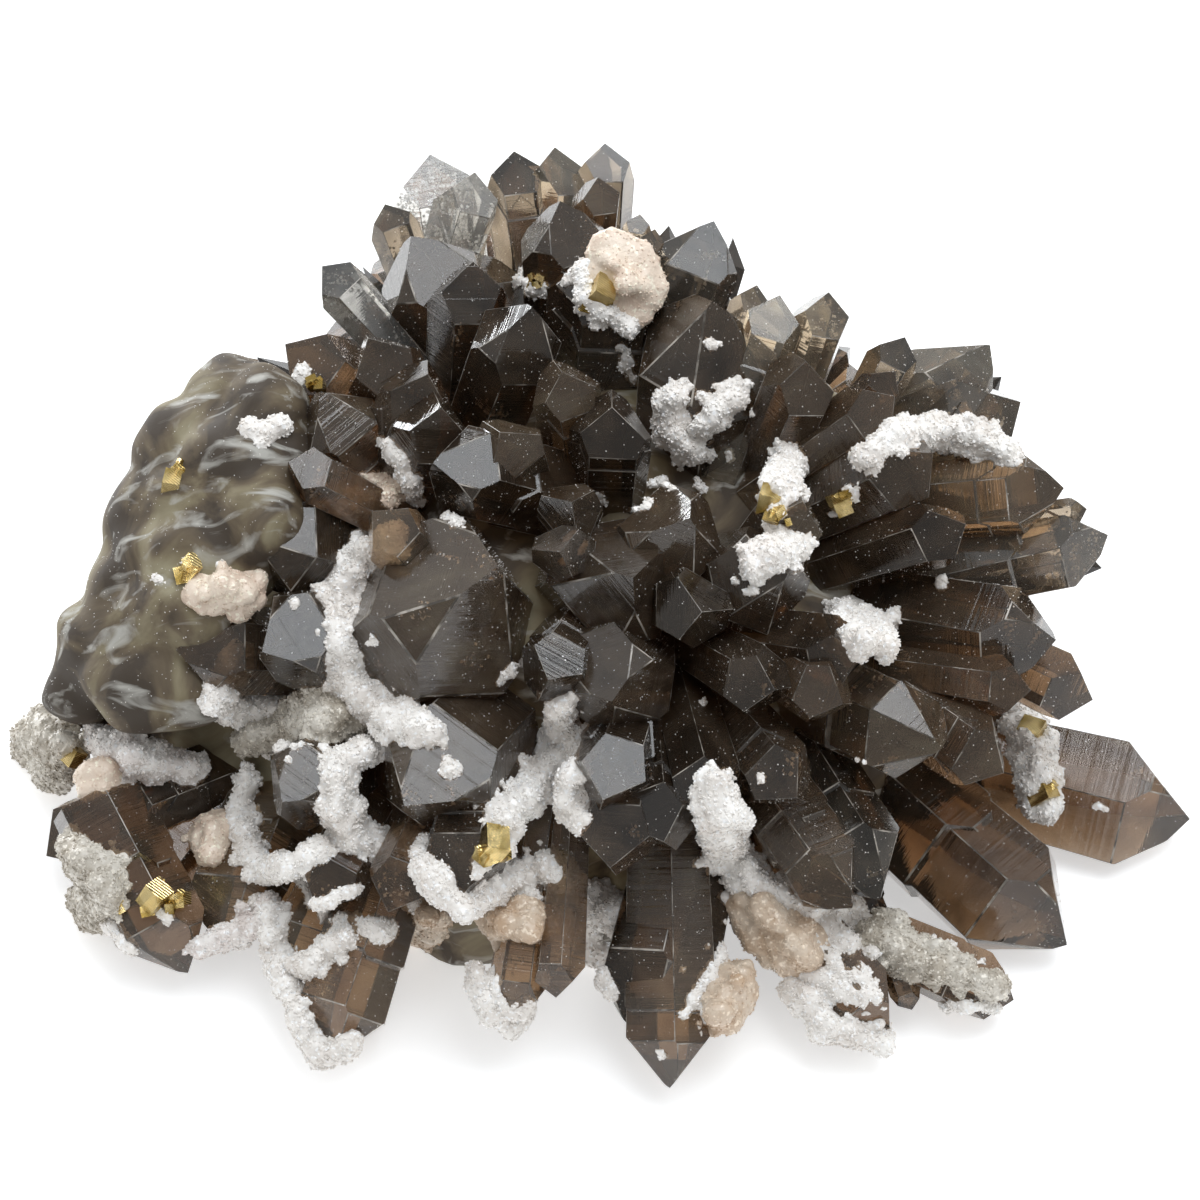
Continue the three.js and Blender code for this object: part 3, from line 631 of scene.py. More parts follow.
def spots_on(points, triangles, per_mm2, draw):
    """Random places on a surface, even by area, and the surface's normal at each."""
    a, b, c = (points[triangles[:, k]] for k in range(3))
    cross = np.cross(b - a, c - a)
    area = np.linalg.norm(cross, axis=1) / 2
    pick = draw.choice(len(triangles), max(1, int(area.sum() * per_mm2)), p=area / area.sum())
    u, v = draw.random(len(pick)), draw.random(len(pick))
    over = u + v > 1
    u[over], v[over] = 1 - u[over], 1 - v[over]
    spots = a[pick] + (b - a)[pick] * u[:, None] + (c - a)[pick] * v[:, None]
    return spots, (cross / (2 * area + 1e-12)[:, None])[pick]


GRAIN_POINTS = np.array([[1, 0, 0], [0, 1, 0], [-1, 0, 0], [0, -1, 0], [0, 0, 1], [0, 0, -1]], float)
GRAIN_FACES = np.array([[0, 1, 4], [1, 2, 4], [2, 3, 4], [3, 0, 4],
                        [1, 0, 5], [2, 1, 5], [3, 2, 5], [0, 3, 5]])
# The least size of a grain beside its mean, and how a grain is stretched along each of its axes: least
# and more
GRAIN_LEAST = 0.5
STRETCH_LEAST = 0.7
STRETCH_VARIES = 0.5


def grains_at(spots, size, draw, flat=1.0):
    """Little eight-faced grains at given places, each turned and stretched at random, and `flat` times as
    thick as wide."""
    count = len(spots)
    quaternion = draw.normal(size=(count, 4))
    quaternion /= np.linalg.norm(quaternion, axis=1)[:, None]
    w, x, y, z = quaternion.T
    turn = np.stack([1 - 2 * (y * y + z * z), 2 * (x * y - w * z), 2 * (x * z + w * y),
                     2 * (x * y + w * z), 1 - 2 * (x * x + z * z), 2 * (y * z - w * x),
                     2 * (x * z - w * y), 2 * (y * z + w * x), 1 - 2 * (x * x + y * y)], axis=1)
    turn = turn.reshape(-1, 3, 3)
    half = size * (GRAIN_LEAST + draw.random((count, 1, 1)))
    half = half * (STRETCH_LEAST + STRETCH_VARIES * draw.random((count, 1, 3)))
    half[:, :, 2] *= flat
    shape = np.einsum("nij,nkj->nki", turn, GRAIN_POINTS[None] * half) + spots[:, None]
    faces = GRAIN_FACES[None] + (np.arange(count) * len(GRAIN_POINTS))[:, None, None]
    return shape.reshape(-1, 3), faces.reshape(-1, 3)


def ball_points(rows, around):
    """The points of a unit ball on a grid of polar and round angles, and its triangles, closed at the
    poles."""
    t = np.linspace(0, math.pi, rows)[:, None]
    s = (np.arange(around) * 2 * math.pi / around)[None]
    ball = np.stack([np.sin(t) * np.cos(s), np.sin(t) * np.sin(s), np.cos(t) * np.ones_like(s)], axis=-1)
    i, j = np.meshgrid(np.arange(rows - 1), np.arange(around), indexing="ij")
    a = (i * around + j).ravel()
    b = (i * around + (j + 1) % around).ravel()
    faces = np.concatenate([np.stack([a, a + around, b], 1), np.stack([b, a + around, b + around], 1)])
    return ball.reshape(-1, 3), faces


BALL_ROWS = 7
BALL_AROUND = 8
BALL, BALL_FACES = ball_points(BALL_ROWS, BALL_AROUND)
SQUASH_LEAST = 0.75
SQUASH_VARIES = 0.5


def lumps_at(spots, half, draw):
    """Round lumps of given half sizes at given places, each squashed a little at random."""
    squash = SQUASH_LEAST + SQUASH_VARIES * draw.random((len(spots), 1, 3))
    squash = half[:, None, None] * squash
    shape = BALL[None] * squash + spots[:, None]
    faces = BALL_FACES[None] + (np.arange(len(spots)) * len(BALL))[:, None, None]
    return shape.reshape(-1, 3), faces.reshape(-1, 3)


def joined(parts):
    """Several sets of points and triangles as one."""
    starts = np.cumsum([0] + [len(points) for points, _ in parts[:-1]])
    return (np.concatenate([points for points, _ in parts]),
            np.concatenate([faces + start for (_, faces), start in zip(parts, starts)]))


def remeshed(name, points, triangles, voxel):
    """The outer skin of overlapping bodies: one even mesh of cells `voxel` mm wide."""
    piece = triangle_object(name, points, triangles)
    skin = piece.modifiers.new("skin", "REMESH")
    skin.mode = "VOXEL"
    skin.voxel_size = voxel * METRE
    mesh = applied(piece)
    bpy.data.objects.remove(piece)
    points, triangles = merged_triangles(mesh)
    bpy.data.meshes.remove(mesh)
    return points, triangles


# The cells of a crust's skin in mm, how far out its grains sit as a share of a grain, and its height over
# the rest face in mm
CRUST_CELL = 0.5
GRAIN_STANDS = 0.15
CRUST_LIFT = 0.05


def crust(name, parts, material, seed, grain, per_mm2):
    """A sugary crust: bodies joined in one skin and covered with grains, kept over the rest face."""
    draw = np.random.default_rng(seed)
    points, triangles = remeshed(name + "_skin", *joined(parts), CRUST_CELL)
    spots, normals = spots_on(points, triangles, per_mm2, draw)
    grains = grains_at(spots + normals * grain * GRAIN_STANDS, grain, draw)
    points, triangles = joined([(points, triangles), grains])
    points[:, 2] = np.maximum(points[:, 2], CRUST_LIFT)
    piece = triangle_object(name, points, triangles)
    piece.data.materials.append(material)
    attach(piece, "root")
    return piece


# The solid quartz, as a tree in which rays and near places are looked up
quartz_points, quartz_faces = merged_triangles(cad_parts["smoky_quartz_cluster"].data)
quartz_tree = BVHTree.FromPolygons(quartz_points.tolist(), quartz_faces.tolist())


def on_quartz(places, sink):
    """The points where the rays of picture places meet the quartz, each moved `sink` mm deeper."""
    out = []
    for place in places:
        ray = point_at(place, 0.0) - EYE
        hit = quartz_tree.ray_cast(Vector(EYE.tolist()), Vector(unit(ray).tolist()))[0]
        if hit is not None:
            out.append(np.array(hit) + unit(ray) * sink)
    return np.array(out).reshape(-1, 3)


def nearest_on(tree, spots):
    """The nearest point of a surface to each spot, and the surface's normal there."""
    found = [tree.find_nearest(Vector(spot))[:2] for spot in spots.tolist()]
    return np.array([hit for hit, _ in found]), np.array([normal for _, normal in found])


# A skirt's lumps: how far they may stray in spreads, their least half size and how much it varies in mm,
# and how deep they sit in mm
SKIRT_STRAY = 2.2
SKIRT_LEAST = 0.5
SKIRT_VARIES = 0.8
SKIRT_SUNK = 0.1


def skirt(spots, spread, draw):
    """A ragged skirt of small lumps round a crust: spots on it are thrown off by about `spread` mm and
    drawn to the quartz nearest to them."""
    at, normals = nearest_on(quartz_tree, spots + draw.normal(size=spots.shape) * spread)
    close = np.linalg.norm(at - spots, axis=1) < SKIRT_STRAY * spread
    half = SKIRT_LEAST + SKIRT_VARIES * draw.random(close.sum()) ** 2
    return lumps_at(at[close] - normals[close] * SKIRT_SUNK, half, draw)


LOBE_FLATNESS = np.array([1.0, 1.0, 0.45])


def broad_lobes(rows):
    """Broad flat lobes where their places' rays meet the quartz: the unit ball scaled to a radius across
    the picture and to under half of it towards the viewer. Each row is a place and a radius in mm."""
    parts = []
    for right, down, radius in rows:
        for spot in on_quartz([(right, down)], 0.0):
            scaled = BALL * LOBE_FLATNESS * radius
            parts.append((scaled @ np.stack([RIGHT, UPWARD, VIEWER]) + spot, BALL_FACES))
    return parts


# What a calcite crust is made with: lumps to the mm2, the least lump's half size in mm, how deep lumps
# sit as a share of it, skirt lumps to the mm2, the skirt's width in mm, a grain's half size in mm and
# grains to the mm2
SUGARY = (0.4, 1.1, 0.35, 1.1, 1.3, 0.32, 2.0)
SMOOTHER = (0.2, 1.3, 0.45, 0.25, 0.9, 0.2, 1.2)
LUMP_VARIES = 1.1


def dress_calcite(node, material, seed, smooth):
    """A calcite crust in place of its solid: the solid with lumps of uneven size along its surface and a
    ragged skirt. A smooth one has broader lumps, finer grains and its broad lobes."""
    lumps_per, least, deep, skirt_per, spread, grain, grains_per = SMOOTHER if smooth else SUGARY
    draw = np.random.default_rng(seed + 1000)
    points, triangles = merged_triangles(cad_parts[node].data)
    spots, normals = spots_on(points, triangles, lumps_per, draw)
    half = least + LUMP_VARIES * draw.random(len(spots)) ** 2
    lumps = lumps_at(spots - normals * half[:, None] * deep, half, draw)
    around, _ = spots_on(points, triangles, skirt_per, draw)
    parts = [(points, triangles), lumps, skirt(around, spread, draw)]
    parts += broad_lobes(LOBES.get(node, []))
    piece = crust(node + "_druse", parts, material, seed, grain, grains_per)
    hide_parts(node)


# Camera, at the picture's own viewpoint
SENSOR = 36.0
PICTURE_WIDTH = 1200
camera_data = bpy.data.cameras.new("camera")
camera = bpy.data.objects.new("camera", camera_data)
bpy.context.scene.collection.objects.link(camera)
camera.location = (EYE * METRE).tolist()
camera.rotation_euler = (Vector((LOOK_AT - EYE).tolist())).to_track_quat("-Z", "Y").to_euler()
camera_data.sensor_width = SENSOR
camera_data.lens = SENSOR * LOOK_DISTANCE / (PICTURE_WIDTH * PIXEL)
bpy.context.scene.camera = camera


# Studio light over a white floor

# The world's strength on the viewer's side and behind, and the Y values of the directions between which
# it changes
WORLD_FRONT = 0.42
WORLD_BEHIND = 1.1
FRONT_Y = -0.7
BEHIND_Y = 0.6
DAYLIGHT = (0.92, 0.96, 1.0)


def studio_world():
    """Light of a room with a white sweep: bright low behind the cluster, dim on the viewer's side, and a
    little blue from overhead."""
    world = bpy.data.worlds.new("studio")
    bpy.context.scene.world = world
    world.use_nodes = True
    tree = world.node_tree
    direction = tree.nodes.new("ShaderNodeTexCoord")
    parts = tree.nodes.new("ShaderNodeSeparateXYZ")
    tree.links.new(direction.outputs["Generated"], parts.inputs[0])
    behind = tree.nodes.new("ShaderNodeMapRange")
    tree.links.new(parts.outputs["Y"], behind.inputs["Value"])
    for socket, value in zip(behind.inputs[1:5], (FRONT_Y, BEHIND_Y, WORLD_FRONT, WORLD_BEHIND)):
        socket.default_value = value
    tree.links.new(behind.outputs["Result"], tree.nodes["Background"].inputs["Strength"])
    colour = ramp_of(tree, parts.outputs["Z"], [[0.2, (1.0, 0.98, 0.95)], [0.8, DAYLIGHT]])
    tree.links.new(colour, tree.nodes["Background"].inputs["Color"])


def soft_box(name, place, size, power):
    """A rectangular light that faces the cluster: its place and size are in metres, its power in
    watts."""
    light = bpy.data.lights.new(name, "AREA")
    light.shape = "RECTANGLE"
    light.size, light.size_y = size
    light.energy = power
    light.color = DAYLIGHT
    lamp = bpy.data.objects.new(name, light)
    lamp.location = place
    lamp.rotation_euler = (-Vector(place)).to_track_quat("-Z", "Y").to_euler()
    bpy.context.scene.collection.objects.link(lamp)


studio_world()
soft_box("left_window", (-0.52, 0.8, 0.1), (0.5, 0.2), 4.5)
soft_box("top_light", (0.15, 0.1, 0.95), (0.75, 0.55), 5.5)

FLOOR_HALF = 3000.0
FLOOR_WHITE = 0.9
FLOOR_GLOW = 0.5
floor = mesh_object("floor", [[-FLOOR_HALF, -FLOOR_HALF, 0], [FLOOR_HALF, -FLOOR_HALF, 0],
                              [FLOOR_HALF, FLOOR_HALF, 0], [-FLOOR_HALF, FLOOR_HALF, 0]], [[0, 1, 2, 3]])
floor_material, _, floor_shader, _ = new_material("floor")
floor_shader.inputs["Base Color"].default_value = (FLOOR_WHITE, FLOOR_WHITE, FLOOR_WHITE, 1)
floor_shader.inputs["Roughness"].default_value = 0.9
floor_shader.inputs["Emission Color"].default_value = (1, 1, 1, 1)
floor_shader.inputs["Emission Strength"].default_value = FLOOR_GLOW
floor.data.materials.append(floor_material)
bpy.context.scene.view_settings.view_transform = "Standard"

# The dark crystals take up most light after a few passes, so long paths are cut short
paths = bpy.context.scene.cycles
THROUGH_CRYSTALS = 7
OFF_SURFACES = 3
paths.max_bounces = THROUGH_CRYSTALS
paths.transmission_bounces = THROUGH_CRYSTALS
paths.diffuse_bounces = OFF_SURFACES
paths.glossy_bounces = OFF_SURFACES


# Quartz
def crystals(name, placed_crystals, material):
    """A group of crystals grown together as one clear body."""
    bodies = crystal_bodies(placed_crystals)
    piece = united(name, bodies)
    piece.data.materials.append(material)
    # The second material: worn edges with a painted highlight in their pale stretches
    piece.data.materials.append(worn_edge_highlight)
    mark_growth(piece, bodies)
    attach(piece, "root")
    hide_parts("smoky_quartz_cluster")
    return piece


smoky_glass = quartz_material("smoky_quartz", (0.62, 0.52, 0.4), 250, (0.64, 0.46, 0.31), 0.92, 0.00015)
pale_glass = quartz_material("pale_smoky_quartz", (0.68, 0.59, 0.47), 130, (0.62, 0.53, 0.42), 0.9, 0.00003)
clear_glass = quartz_material("clear_quartz", (0.84, 0.8, 0.74), 50, (0.85, 0.83, 0.78), 0.84, 0.00005)
worn_edge_highlight = worn_edge_highlight_material()
smoky = crystals("smoky_crystals", placed(SMOKY) + placed_far_side(), smoky_glass)
pale = crystals("pale_crystals", placed(PALE_ROW), pale_glass)
clear = crystals("clear_crystals", placed(BACK_ROW), clear_glass)


def rough_lump(centre, basis, half, number, rows, around, creases=1.0):
    """A broken lump: the unit ball pushed in and out by the root's slow wave and by sharper crossed sine
    waves, `creases` times as deep, scaled to its half sizes and kept over the rest face."""
    ball, faces = ball_points(rows, around)
    x, y, z = ball.T
    slow = 0.12 * np.sin(5 * x + number) * np.sin(4 * y + 2 * number) * np.sin(3 * z + 1)
    sharp = 0.05 * np.abs(np.sin(9 * x + 4 * y + number)) + 0.03 * np.abs(np.sin(17 * z - 11 * x + number))
    points = (ball * (1 + slow - creases * sharp)[:, None] * np.array(half)) @ basis + centre
    points[:, 2] = np.maximum(points[:, 2], 0.0)
    return points, faces


ROOT_ROWS = 80
ROOT_AROUND = 160
# The left wall: a block's rows and points around, how deep its creases are, how far it sits under the
# dome as a share of its half size, the skin's cells in mm, how many times the skin is smoothed, and its
# waves' height in mm
WALL_ROWS = 18
WALL_AROUND = 28
WALL_CREASES = 0.15
WALL_SUNK = 0.8
WALL_CELL = 0.7
WALL_SMOOTHINGS = 14
WALL_WAVES = 0.3


def left_wall():
    """The left wall: its blocks, worn to lumps, are joined in one skin with the fill between them. The
    skin is smoothed by moving each point half way to its neighbours' mean again and again, and then
    pushed away from the cluster's heart and back by crossed sine waves."""
    parts = []
    for number, (place, half) in enumerate(BLOCKS + WALL_FILL):
        middle = point_at(place, dome_depth(place) - WALL_SUNK * half[2])
        parts.append(rough_lump(middle, np.stack([RIGHT, UPWARD, VIEWER]), half, number,
                                WALL_ROWS, WALL_AROUND, WALL_CREASES))
    points, triangles = remeshed("left_wall_skin", *joined(parts), WALL_CELL)
    edges = np.concatenate([triangles[:, [0, 1]], triangles[:, [1, 2]], triangles[:, [2, 0]]])
    for _ in range(WALL_SMOOTHINGS):
        total = np.zeros_like(points)
        count = np.zeros(len(points))
        np.add.at(total, edges[:, 0], points[edges[:, 1]])
        np.add.at(count, edges[:, 0], 1)
        points = 0.5 * points + 0.5 * total / count[:, None]
    x, y, z = points.T
    push = WALL_WAVES * np.sin(0.4 * x + 0.3 * y) * np.sin(0.35 * z + 1)
    outward = points - HEART
    points = points + outward / np.linalg.norm(outward, axis=1)[:, None] * push[:, None]
    points[:, 2] = np.maximum(points[:, 2], 0.0)
    return points, triangles


massive = massive_material()
root_points, root_faces = rough_lump(ROOT_MIDDLE, np.eye(3), ROOT, 3, ROOT_ROWS, ROOT_AROUND)
root = triangle_object("massive_root", root_points, root_faces, smooth=True)
wall = triangle_object("left_wall_quartz", *left_wall(), smooth=True)
for piece in (root, wall):
    piece.data.materials.append(massive)
    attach(piece, "root")
    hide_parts("smoky_quartz_cluster")


# Small quartz points

# A point's triangles: foot ring 0 to 5, shoulder ring 6 to 11 and tip 12
POINT_FACES = np.array([[i, (i + 1) % 6, 6 + i] for i in range(6)]
                       + [[(i + 1) % 6, 6 + (i + 1) % 6, 6 + i] for i in range(6)]
                       + [[6 + i, 6 + (i + 1) % 6, 12] for i in range(6)]
                       + [[0, i + 2, i + 1] for i in range(4)])
# How many points grow to the mm2, how far out they reach and how low they start in mm, how far they lean
# at random, the least width and how much it varies in mm, and how far the foot is sunk in mm
POINTS_PER_MM2 = 0.024
POINTS_REACH = 16
POINTS_LOWEST = 7
POINTS_LEAN = 0.25
POINT_LEAST = 3.5
POINT_VARIES = 5.5
POINT_SUNK = -3.0
# A point's length to its shoulder in widths and its sides' distances: the least and how much they vary.
# Then the shoulder's width beside the foot's, and the end's length in widths
LONG_LEAST = 0.9
LONG_VARIES = 0.9
RING_LEAST = 0.8
RING_VARIES = 0.35
SHOULDER = 0.96
END_LONG = 0.6
# Points grow only where the root's surface looks away from the viewer, up to this cosine
FACING = 0.3


def small_points():
    """Small quartz points over the root's sides and back, between the large crystals: six-sided prisms
    with six end faces, grown out along the root's surface normal and a little askew. A point is a foot
    ring, a shoulder ring and a tip. Points that would show past the large crystals from the front are
    left out."""
    draw = np.random.default_rng(12)
    spots, normals = spots_on(root_points, root_faces, POINTS_PER_MM2, draw)
    ends = spots + normals * POINTS_REACH
    covered = [quartz_tree.ray_cast(Vector(EYE.tolist()), Vector(unit(end - EYE).tolist()))[0] is not None
               for end in ends]
    kept = np.array(covered) & (spots[:, 2] > POINTS_LOWEST) & (normals @ VIEWER < FACING)
    spots, normals = spots[kept], normals[kept]
    count = len(spots)
    axis = normals + draw.normal(size=(count, 3)) * POINTS_LEAN
    axis[:, 2] = np.maximum(axis[:, 2], -0.1)
    axis /= np.linalg.norm(axis, axis=1)[:, None]
    first = np.cross(axis, draw.normal(size=(count, 3)))
    first /= np.linalg.norm(first, axis=1)[:, None]
    basis = np.stack([first, np.cross(axis, first), axis], axis=1)
    a = np.arange(6) * math.pi / 3
    wide = (POINT_LEAST + POINT_VARIES * draw.random(count) ** 1.6)[:, None]
    long = wide * (LONG_LEAST + LONG_VARIES * draw.random((count, 1)))
    uneven = RING_LEAST + RING_VARIES * draw.random((count, 6, 1))
    ring = np.stack([np.cos(a), np.sin(a)], axis=1)[None] * wide[..., None] / 2 * uneven
    foot = np.concatenate([ring, np.full((count, 6, 1), POINT_SUNK)], axis=2)
    shoulder = np.concatenate([ring * SHOULDER, np.repeat(long[..., None], 6, axis=1)], axis=2)
    tip = np.concatenate([np.zeros((count, 1, 2)), (long + END_LONG * wide)[..., None]], axis=2)
    local = np.concatenate([foot, shoulder, tip], axis=1)
    points = np.einsum("nij,njk->nik", local, basis) + spots[:, None]
    faces = POINT_FACES[None] + (np.arange(count) * local.shape[1])[:, None, None]
    points = points.reshape(-1, 3)
    points[:, 2] = np.maximum(points[:, 2], 0.0)
    piece = triangle_object("small_points", points, faces.reshape(-1, 3))
    piece.data.materials.append(smoky_glass)
    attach(piece, "root")


small_points()

# Calcite
white = calcite_material("white_calcite", (0.9, 0.87, 0.83), (0.77, 0.72, 0.67))
blush = calcite_material("blush_calcite", (0.88, 0.845, 0.81), (0.72, 0.65, 0.61))
cream = calcite_material("cream_calcite", (0.8, 0.68, 0.56), (0.68, 0.53, 0.42))
tan = calcite_material("tan_calcite", (0.68, 0.58, 0.47), (0.52, 0.37, 0.25))
grey = calcite_material("grey_calcite", (0.66, 0.62, 0.55), (0.44, 0.39, 0.32))
TINTS = {
    "calcite_cream_blob": cream, "calcite_ball_left": cream, "calcite_rosette_west": cream,
    "calcite_blush_left": cream, "calcite_tan_lobes": tan, "calcite_tan_lobe_low": tan,
    "calcite_ball_east": tan, "calcite_ball_west": tan, "calcite_clump_left": grey,
    "calcite_druse_left": grey, "calcite_clump_far_left": grey, "calcite_crust_low_right": grey,
    "calcite_band_left": blush, "calcite_crust_left": blush, "calcite_heart": cream,
}
SMOOTH = ("calcite_cream_blob", "calcite_heart", "calcite_ball_left", "calcite_tan_lobes",
          "calcite_tan_lobe_low", "calcite_ball_east", "calcite_ball_west", "calcite_blush_left")
# Broad lobes of single crusts: pixels right, pixels down and radius in mm
LOBES = {
    "calcite_cream_blob": [(612, 254, 4.6), (628, 266, 5.4), (640, 288, 5.0), (622, 290, 4.4),
                           (636, 308, 3.6), (606, 272, 4.0)],
    "calcite_tan_lobes": [(752, 905, 4.6), (768, 928, 5.4), (792, 925, 4.6), (806, 945, 4.4)],
    "calcite_tan_lobe_low": [(722, 985, 4.4), (738, 1000, 4.6), (742, 1022, 3.6), (716, 1010, 4.0)],
}
for seed, node in enumerate(sorted(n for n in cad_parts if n.startswith("calcite_"))):
    dress_calcite(node, TINTS.get(node, white), seed, node in SMOOTH)

# Thin rims of calcite on the crystals, as runs of pixels right, pixels down and half width in mm
THIN_RIMS = [
    [(297, 872, 0.9), (314, 906, 1.2), (360, 888, 1.0)],
    [(578, 916, 1.2), (596, 955, 1.6), (612, 998, 1.2)],
    [(728, 938, 1.0), (708, 980, 1.4), (682, 1014, 1.2)],
    [(622, 346, 1.0), (628, 366, 1.3), (636, 384, 1.0)],
    [(384, 440, 1.4), (404, 466, 1.9), (418, 502, 1.4)],
    [(918, 1002, 1.5), (962, 1005, 1.3), (1008, 1008, 1.0)],
    [(650, 486, 0.7), (662, 482, 0.9), (675, 490, 0.7)],
    [(500, 680, 0.8), (518, 665, 1.2), (530, 650, 0.8)],
    [(440, 512, 0.9), (452, 520, 1.2), (462, 528, 0.8)],
    [(820, 925, 1.8), (835, 938, 2.2), (850, 948, 1.6)],
    [(500, 850, 1.6), (515, 865, 2.0), (530, 878, 1.6)],
    [(755, 990, 2.0), (778, 1014, 2.4), (800, 1038, 1.6)],
    [(765, 955, 1.8), (795, 965, 2.2), (825, 978, 1.6)],
    [(55, 900, 1.6), (78, 915, 2.0), (100, 930, 1.6)],
    [(110, 922, 1.3), (122, 936, 1.6), (132, 950, 1.3)],
    [(150, 906, 1.0), (160, 912, 1.3), (168, 920, 1.0)],
    [(378, 515, 1.0), (355, 540, 1.4), (335, 575, 1.2)],
    [(135, 562, 1.4), (150, 572, 1.8), (165, 586, 1.3)],
    [(430, 862, 1.6), (446, 884, 2.0), (452, 905, 1.5)], [(700, 790, 1.2), (716, 772, 1.0)],
    [(560, 940, 1.2), (545, 975, 1.5), (575, 1000, 1.3)], [(400, 880, 1.2), (414, 905, 1.6)],
    [(262, 905, 1.2), (250, 925, 1.4), (225, 940, 1.2)],
]
# Fields of druse between the crystals: middle, half sizes in pixels, and how many lumps
FIELDS = [
    ((800, 930), (62, 34), 90), ((720, 1000), (34, 40), 60), ((850, 985), (40, 30), 60),
    ((930, 965), (50, 18), 60), ((770, 1035), (46, 20), 40), ((590, 960), (20, 48), 50),
    ((500, 905), (62, 36), 100), ((430, 930), (26, 40), 50), ((85, 880), (30, 45), 60),
    ((60, 745), (44, 26), 60), ((150, 760), (46, 12), 30), ((300, 735), (60, 22), 60),
    ((345, 930), (34, 26), 40), ((272, 930), (22, 34), 40), ((480, 990), (22, 34), 40),
    ((735, 870), (16, 60), 50), ((215, 590), (44, 28), 40), ((556, 1010), (40, 18), 30),
]
# Single spots of calcite: pixels right, pixels down and half width in mm
SPOTS = [
    (262, 438, 2.4), (532, 290, 2.0), (380, 930, 2.8), (648, 507, 0.9), (635, 510, 0.8), (543, 517, 0.8),
    (532, 545, 0.7), (575, 547, 0.8), (552, 645, 0.9), (603, 500, 0.9), (705, 703, 0.8), (752, 592, 0.9),
    (940, 585, 1.2), (860, 762, 0.9), (715, 345, 1.1), (697, 480, 0.7), (702, 490, 0.7), (730, 458, 0.9),
    (873, 472, 0.8), (760, 780, 0.9), (728, 772, 0.8), (728, 795, 0.8), (713, 765, 0.8), (448, 770, 1.6),
    (1100, 805, 0.9), (912, 913, 0.8), (662, 1053, 0.7), (302, 380, 1.5), (600, 495, 0.8),
    (848, 496, 1.2), (838, 512, 1.0), (190, 560, 1.0), (372, 640, 0.8), (540, 288, 1.2), (520, 282, 1.2),
    (855, 490, 0.8),
]
# Pixels between a rim's lumps, lumps in a spot, how far they spread in half widths, how far a field's
# lumps spread in its half sizes, and how far any lump strays in pixels
RIM_STEP = 4
SPOT_LUMPS = 6
SPOT_SPREAD = 2.6
FIELD_SPREAD = 0.45
OFF_LINE = 1.4
# A field's lumps: their least half size and how much it varies in mm. Then a spot's lumps beside the
# spot, and how deep any lump sits in half sizes
FIELD_LEAST = 0.5
FIELD_VARIES = 1.1
SPOT_LUMP = 0.75
LUMP_SUNK = 0.25


def along_run(run, step):
    """Places every `step` pixels along a run, with the half width carried evenly between its ends."""
    run = np.array(run, float)
    reach = np.concatenate([[0], np.cumsum(np.linalg.norm(np.diff(run[:, :2], axis=0), axis=1))])
    at = np.arange(0, reach[-1] + step / 2, step)
    return np.stack([np.interp(at, reach, run[:, k]) for k in range(3)], axis=1)


def scattered_calcite():
    """Thin rims, single spots and fields of druse as lumps where their places' rays meet the quartz, a
    little off the line."""
    draw = np.random.default_rng(77)
    rows = np.concatenate([along_run(run, RIM_STEP) for run in THIN_RIMS])
    spot_rows = np.repeat(np.array(SPOTS, float), SPOT_LUMPS, axis=0)
    spot_rows[:, :2] += draw.normal(size=(len(spot_rows), 2)) * spot_rows[:, 2:] * SPOT_SPREAD
    spot_rows[:, 2] *= SPOT_LUMP
    fields = [rows, spot_rows]
    for middle, reach, count in FIELDS:
        off = draw.normal(size=(count, 2)) * np.array(reach) * FIELD_SPREAD
        size = FIELD_LEAST + FIELD_VARIES * draw.random(count) ** 2
        fields.append(np.column_stack([off + np.array(middle), size]))
    rows = np.concatenate(fields)
    rows[:, :2] += draw.normal(size=(len(rows), 2)) * OFF_LINE
    kept, half = [], []
    for right, down, size in rows:
        spot = on_quartz([(right, down)], LUMP_SUNK * size)
        if len(spot):
            kept.append(spot[0])
            half.append(size * (0.7 + 0.5 * draw.random()))
    return lumps_at(np.array(kept), np.array(half), draw)


crust("scattered_calcite", [scattered_calcite()], white, 78, 0.3, 2.0)


# White flakes to the mm2, a flake's half size in mm, and how far a face may turn away and still carry
# them
FLAKES_PER_MM2 = 0.4
FLAKE = 0.085
FLAKES_FACING = 0.15


def dust():
    """Fine white flakes on the faces that look up or to the viewer, closer where a slow wave is high."""
    draw = np.random.default_rng(5)
    parts = []
    for piece in (smoky, pale, clear, wall):
        points, triangles = merged_triangles(piece.data)
        spots, normals = spots_on(points, triangles, FLAKES_PER_MM2, draw)
        x, y, z = spots.T
        wave = 0.5 + 0.5 * np.sin(0.11 * x + 0.5) * np.sin(0.09 * y + 1) * np.sin(0.13 * z)
        seen = np.maximum(normals @ VIEWER, normals[:, 2]) > FLAKES_FACING
        good = seen & (draw.random(len(spots)) < 0.25 + wave)
        parts.append(spots[good])
    spots = np.concatenate(parts)
    points, triangles = grains_at(spots, FLAKE, draw)
    piece = triangle_object("white_flakes", points, triangles)
    piece.data.materials.append(white)
    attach(piece, "root")


dust()


# Healed cracks: flakes in each disc, a disc's spread, a flake's half size and how deep a flake lies at
# least, in mm, and a flake's thickness as a share of its width
VEIL_FLAKES = 24
VEIL_SPREAD = 1.2
VEIL_FLAKE = 0.3
VEIL_DEEP = 0.3
VEIL_FLATNESS = 0.12
# Discs to the mm2 of the smoky, pale and clear crystals' faces
VEILS_PER_MM2 = (0.0016, 0.004, 0.03)


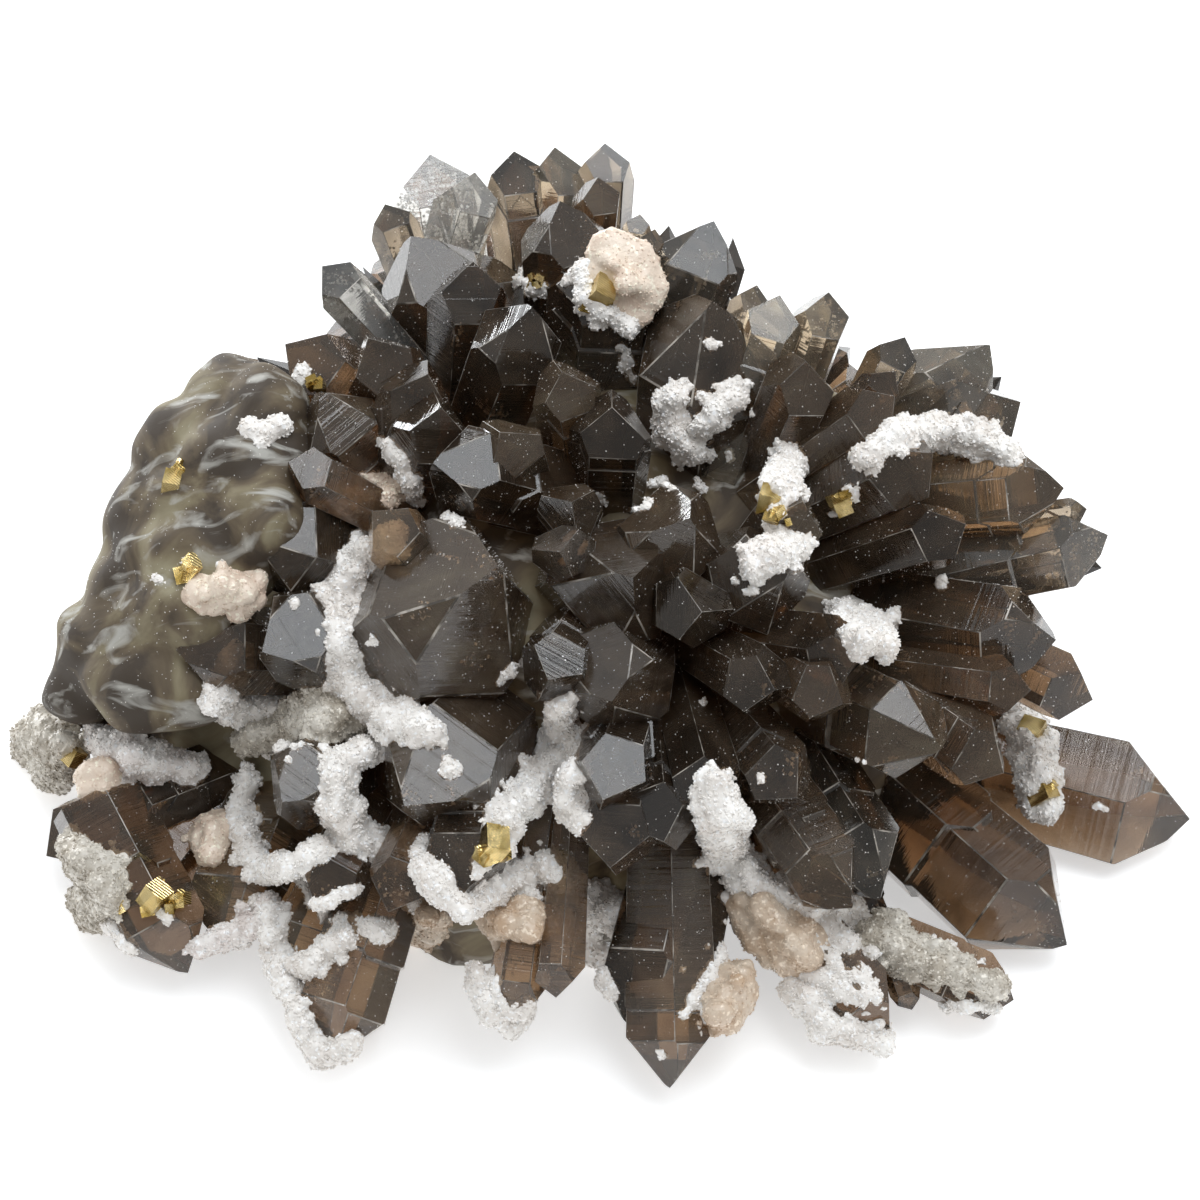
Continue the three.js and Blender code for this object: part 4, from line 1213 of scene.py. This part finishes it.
def veils():
    """Healed cracks inside the crystals: small flat flakes spread over discs that lie a few millimetres
    under the faces, kept where they are inside."""
    draw = np.random.default_rng(31)
    parts = []
    for piece, per_mm2 in zip((smoky, pale, clear), VEILS_PER_MM2):
        points, triangles = merged_triangles(piece.data)
        centres, normals = spots_on(points, triangles, per_mm2, draw)
        centres = centres - normals * (1.0 + 2.0 * draw.random((len(centres), 1)))
        spread = draw.normal(size=(len(centres), VEIL_FLAKES, 3)) * VEIL_SPREAD
        across = draw.normal(size=(len(centres), 1, 3))
        across /= np.linalg.norm(across, axis=2)[..., None]
        spread -= across * (spread * across).sum(axis=2)[..., None]
        spots = (centres[:, None] + spread).reshape(-1, 3)
        at, faces = nearest_on(BVHTree.FromPolygons(points.tolist(), triangles.tolist()), spots)
        parts.append(spots[((spots - at) * faces).sum(axis=1) < -VEIL_DEEP])
    flakes = grains_at(np.concatenate(parts), VEIL_FLAKE, draw, VEIL_FLATNESS)
    piece = triangle_object("healed_cracks", *flakes)
    piece.data.materials.append(white)
    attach(piece, "root")


veils()

# Pyrite
pyrite = pyrite_material()
for node in sorted(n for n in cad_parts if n.startswith("pyrite_")):
    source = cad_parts[node]
    source.data.materials.clear()
    source.data.materials.append(pyrite)

# Small pyrite: pixels right, pixels down and half size in mm
SMALL_PYRITE = [
    (180, 900, 1.2), (45, 737, 1.3), (190, 562, 1.4), (210, 618, 1.2), (533, 280, 0.9), (315, 385, 0.9),
    (182, 470, 1.0), (60, 760, 1.0), (838, 500, 1.1), (776, 512, 1.2), (764, 492, 1.0), (488, 852, 1.3),
    (503, 846, 1.1), (1028, 738, 1.0), (1048, 786, 1.2), (598, 300, 1.3), (148, 905, 1.1),
    (163, 888, 1.2), (118, 905, 0.9), (90, 868, 0.9),
]
CUBE = np.array([[x, y, z] for x in (-1, 1) for y in (-1, 1) for z in (-1, 1)], float)
CUBE_FACES = np.array([[0, 1, 3], [0, 3, 2], [4, 6, 7], [4, 7, 5], [0, 4, 5], [0, 5, 1],
                       [2, 3, 7], [2, 7, 6], [0, 2, 6], [0, 6, 4], [1, 5, 7], [1, 7, 3]])


# Cubes at each place, how far they spread in pixels to each mm of half size, and how far they stand out
# of the quartz in half sizes
CUBES_A_PLACE = 6
CUBE_SPREAD = 4
CUBE_STANDS = 0.7


def small_pyrite():
    """Small intergrown pyrite cubes where their places' rays meet the quartz, some at each place, each
    turned by its own angles."""
    draw = np.random.default_rng(9)
    parts = []
    for right, down, size in SMALL_PYRITE:
        places = np.array([right, down]) + draw.normal(size=(CUBES_A_PLACE, 2)) * size * CUBE_SPREAD
        for spot in on_quartz(places, -CUBE_STANDS * size):
            basis, _ = np.linalg.qr(draw.normal(size=(3, 3)))
            basis[:, 0] *= np.sign(np.linalg.det(basis))
            parts.append((CUBE * size * (0.4 + 0.6 * draw.random(3)) @ basis.T + spot, CUBE_FACES))
    piece = triangle_object("small_pyrite", *joined(parts))
    piece.data.materials.append(pyrite)
    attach(piece, "root")


small_pyrite()
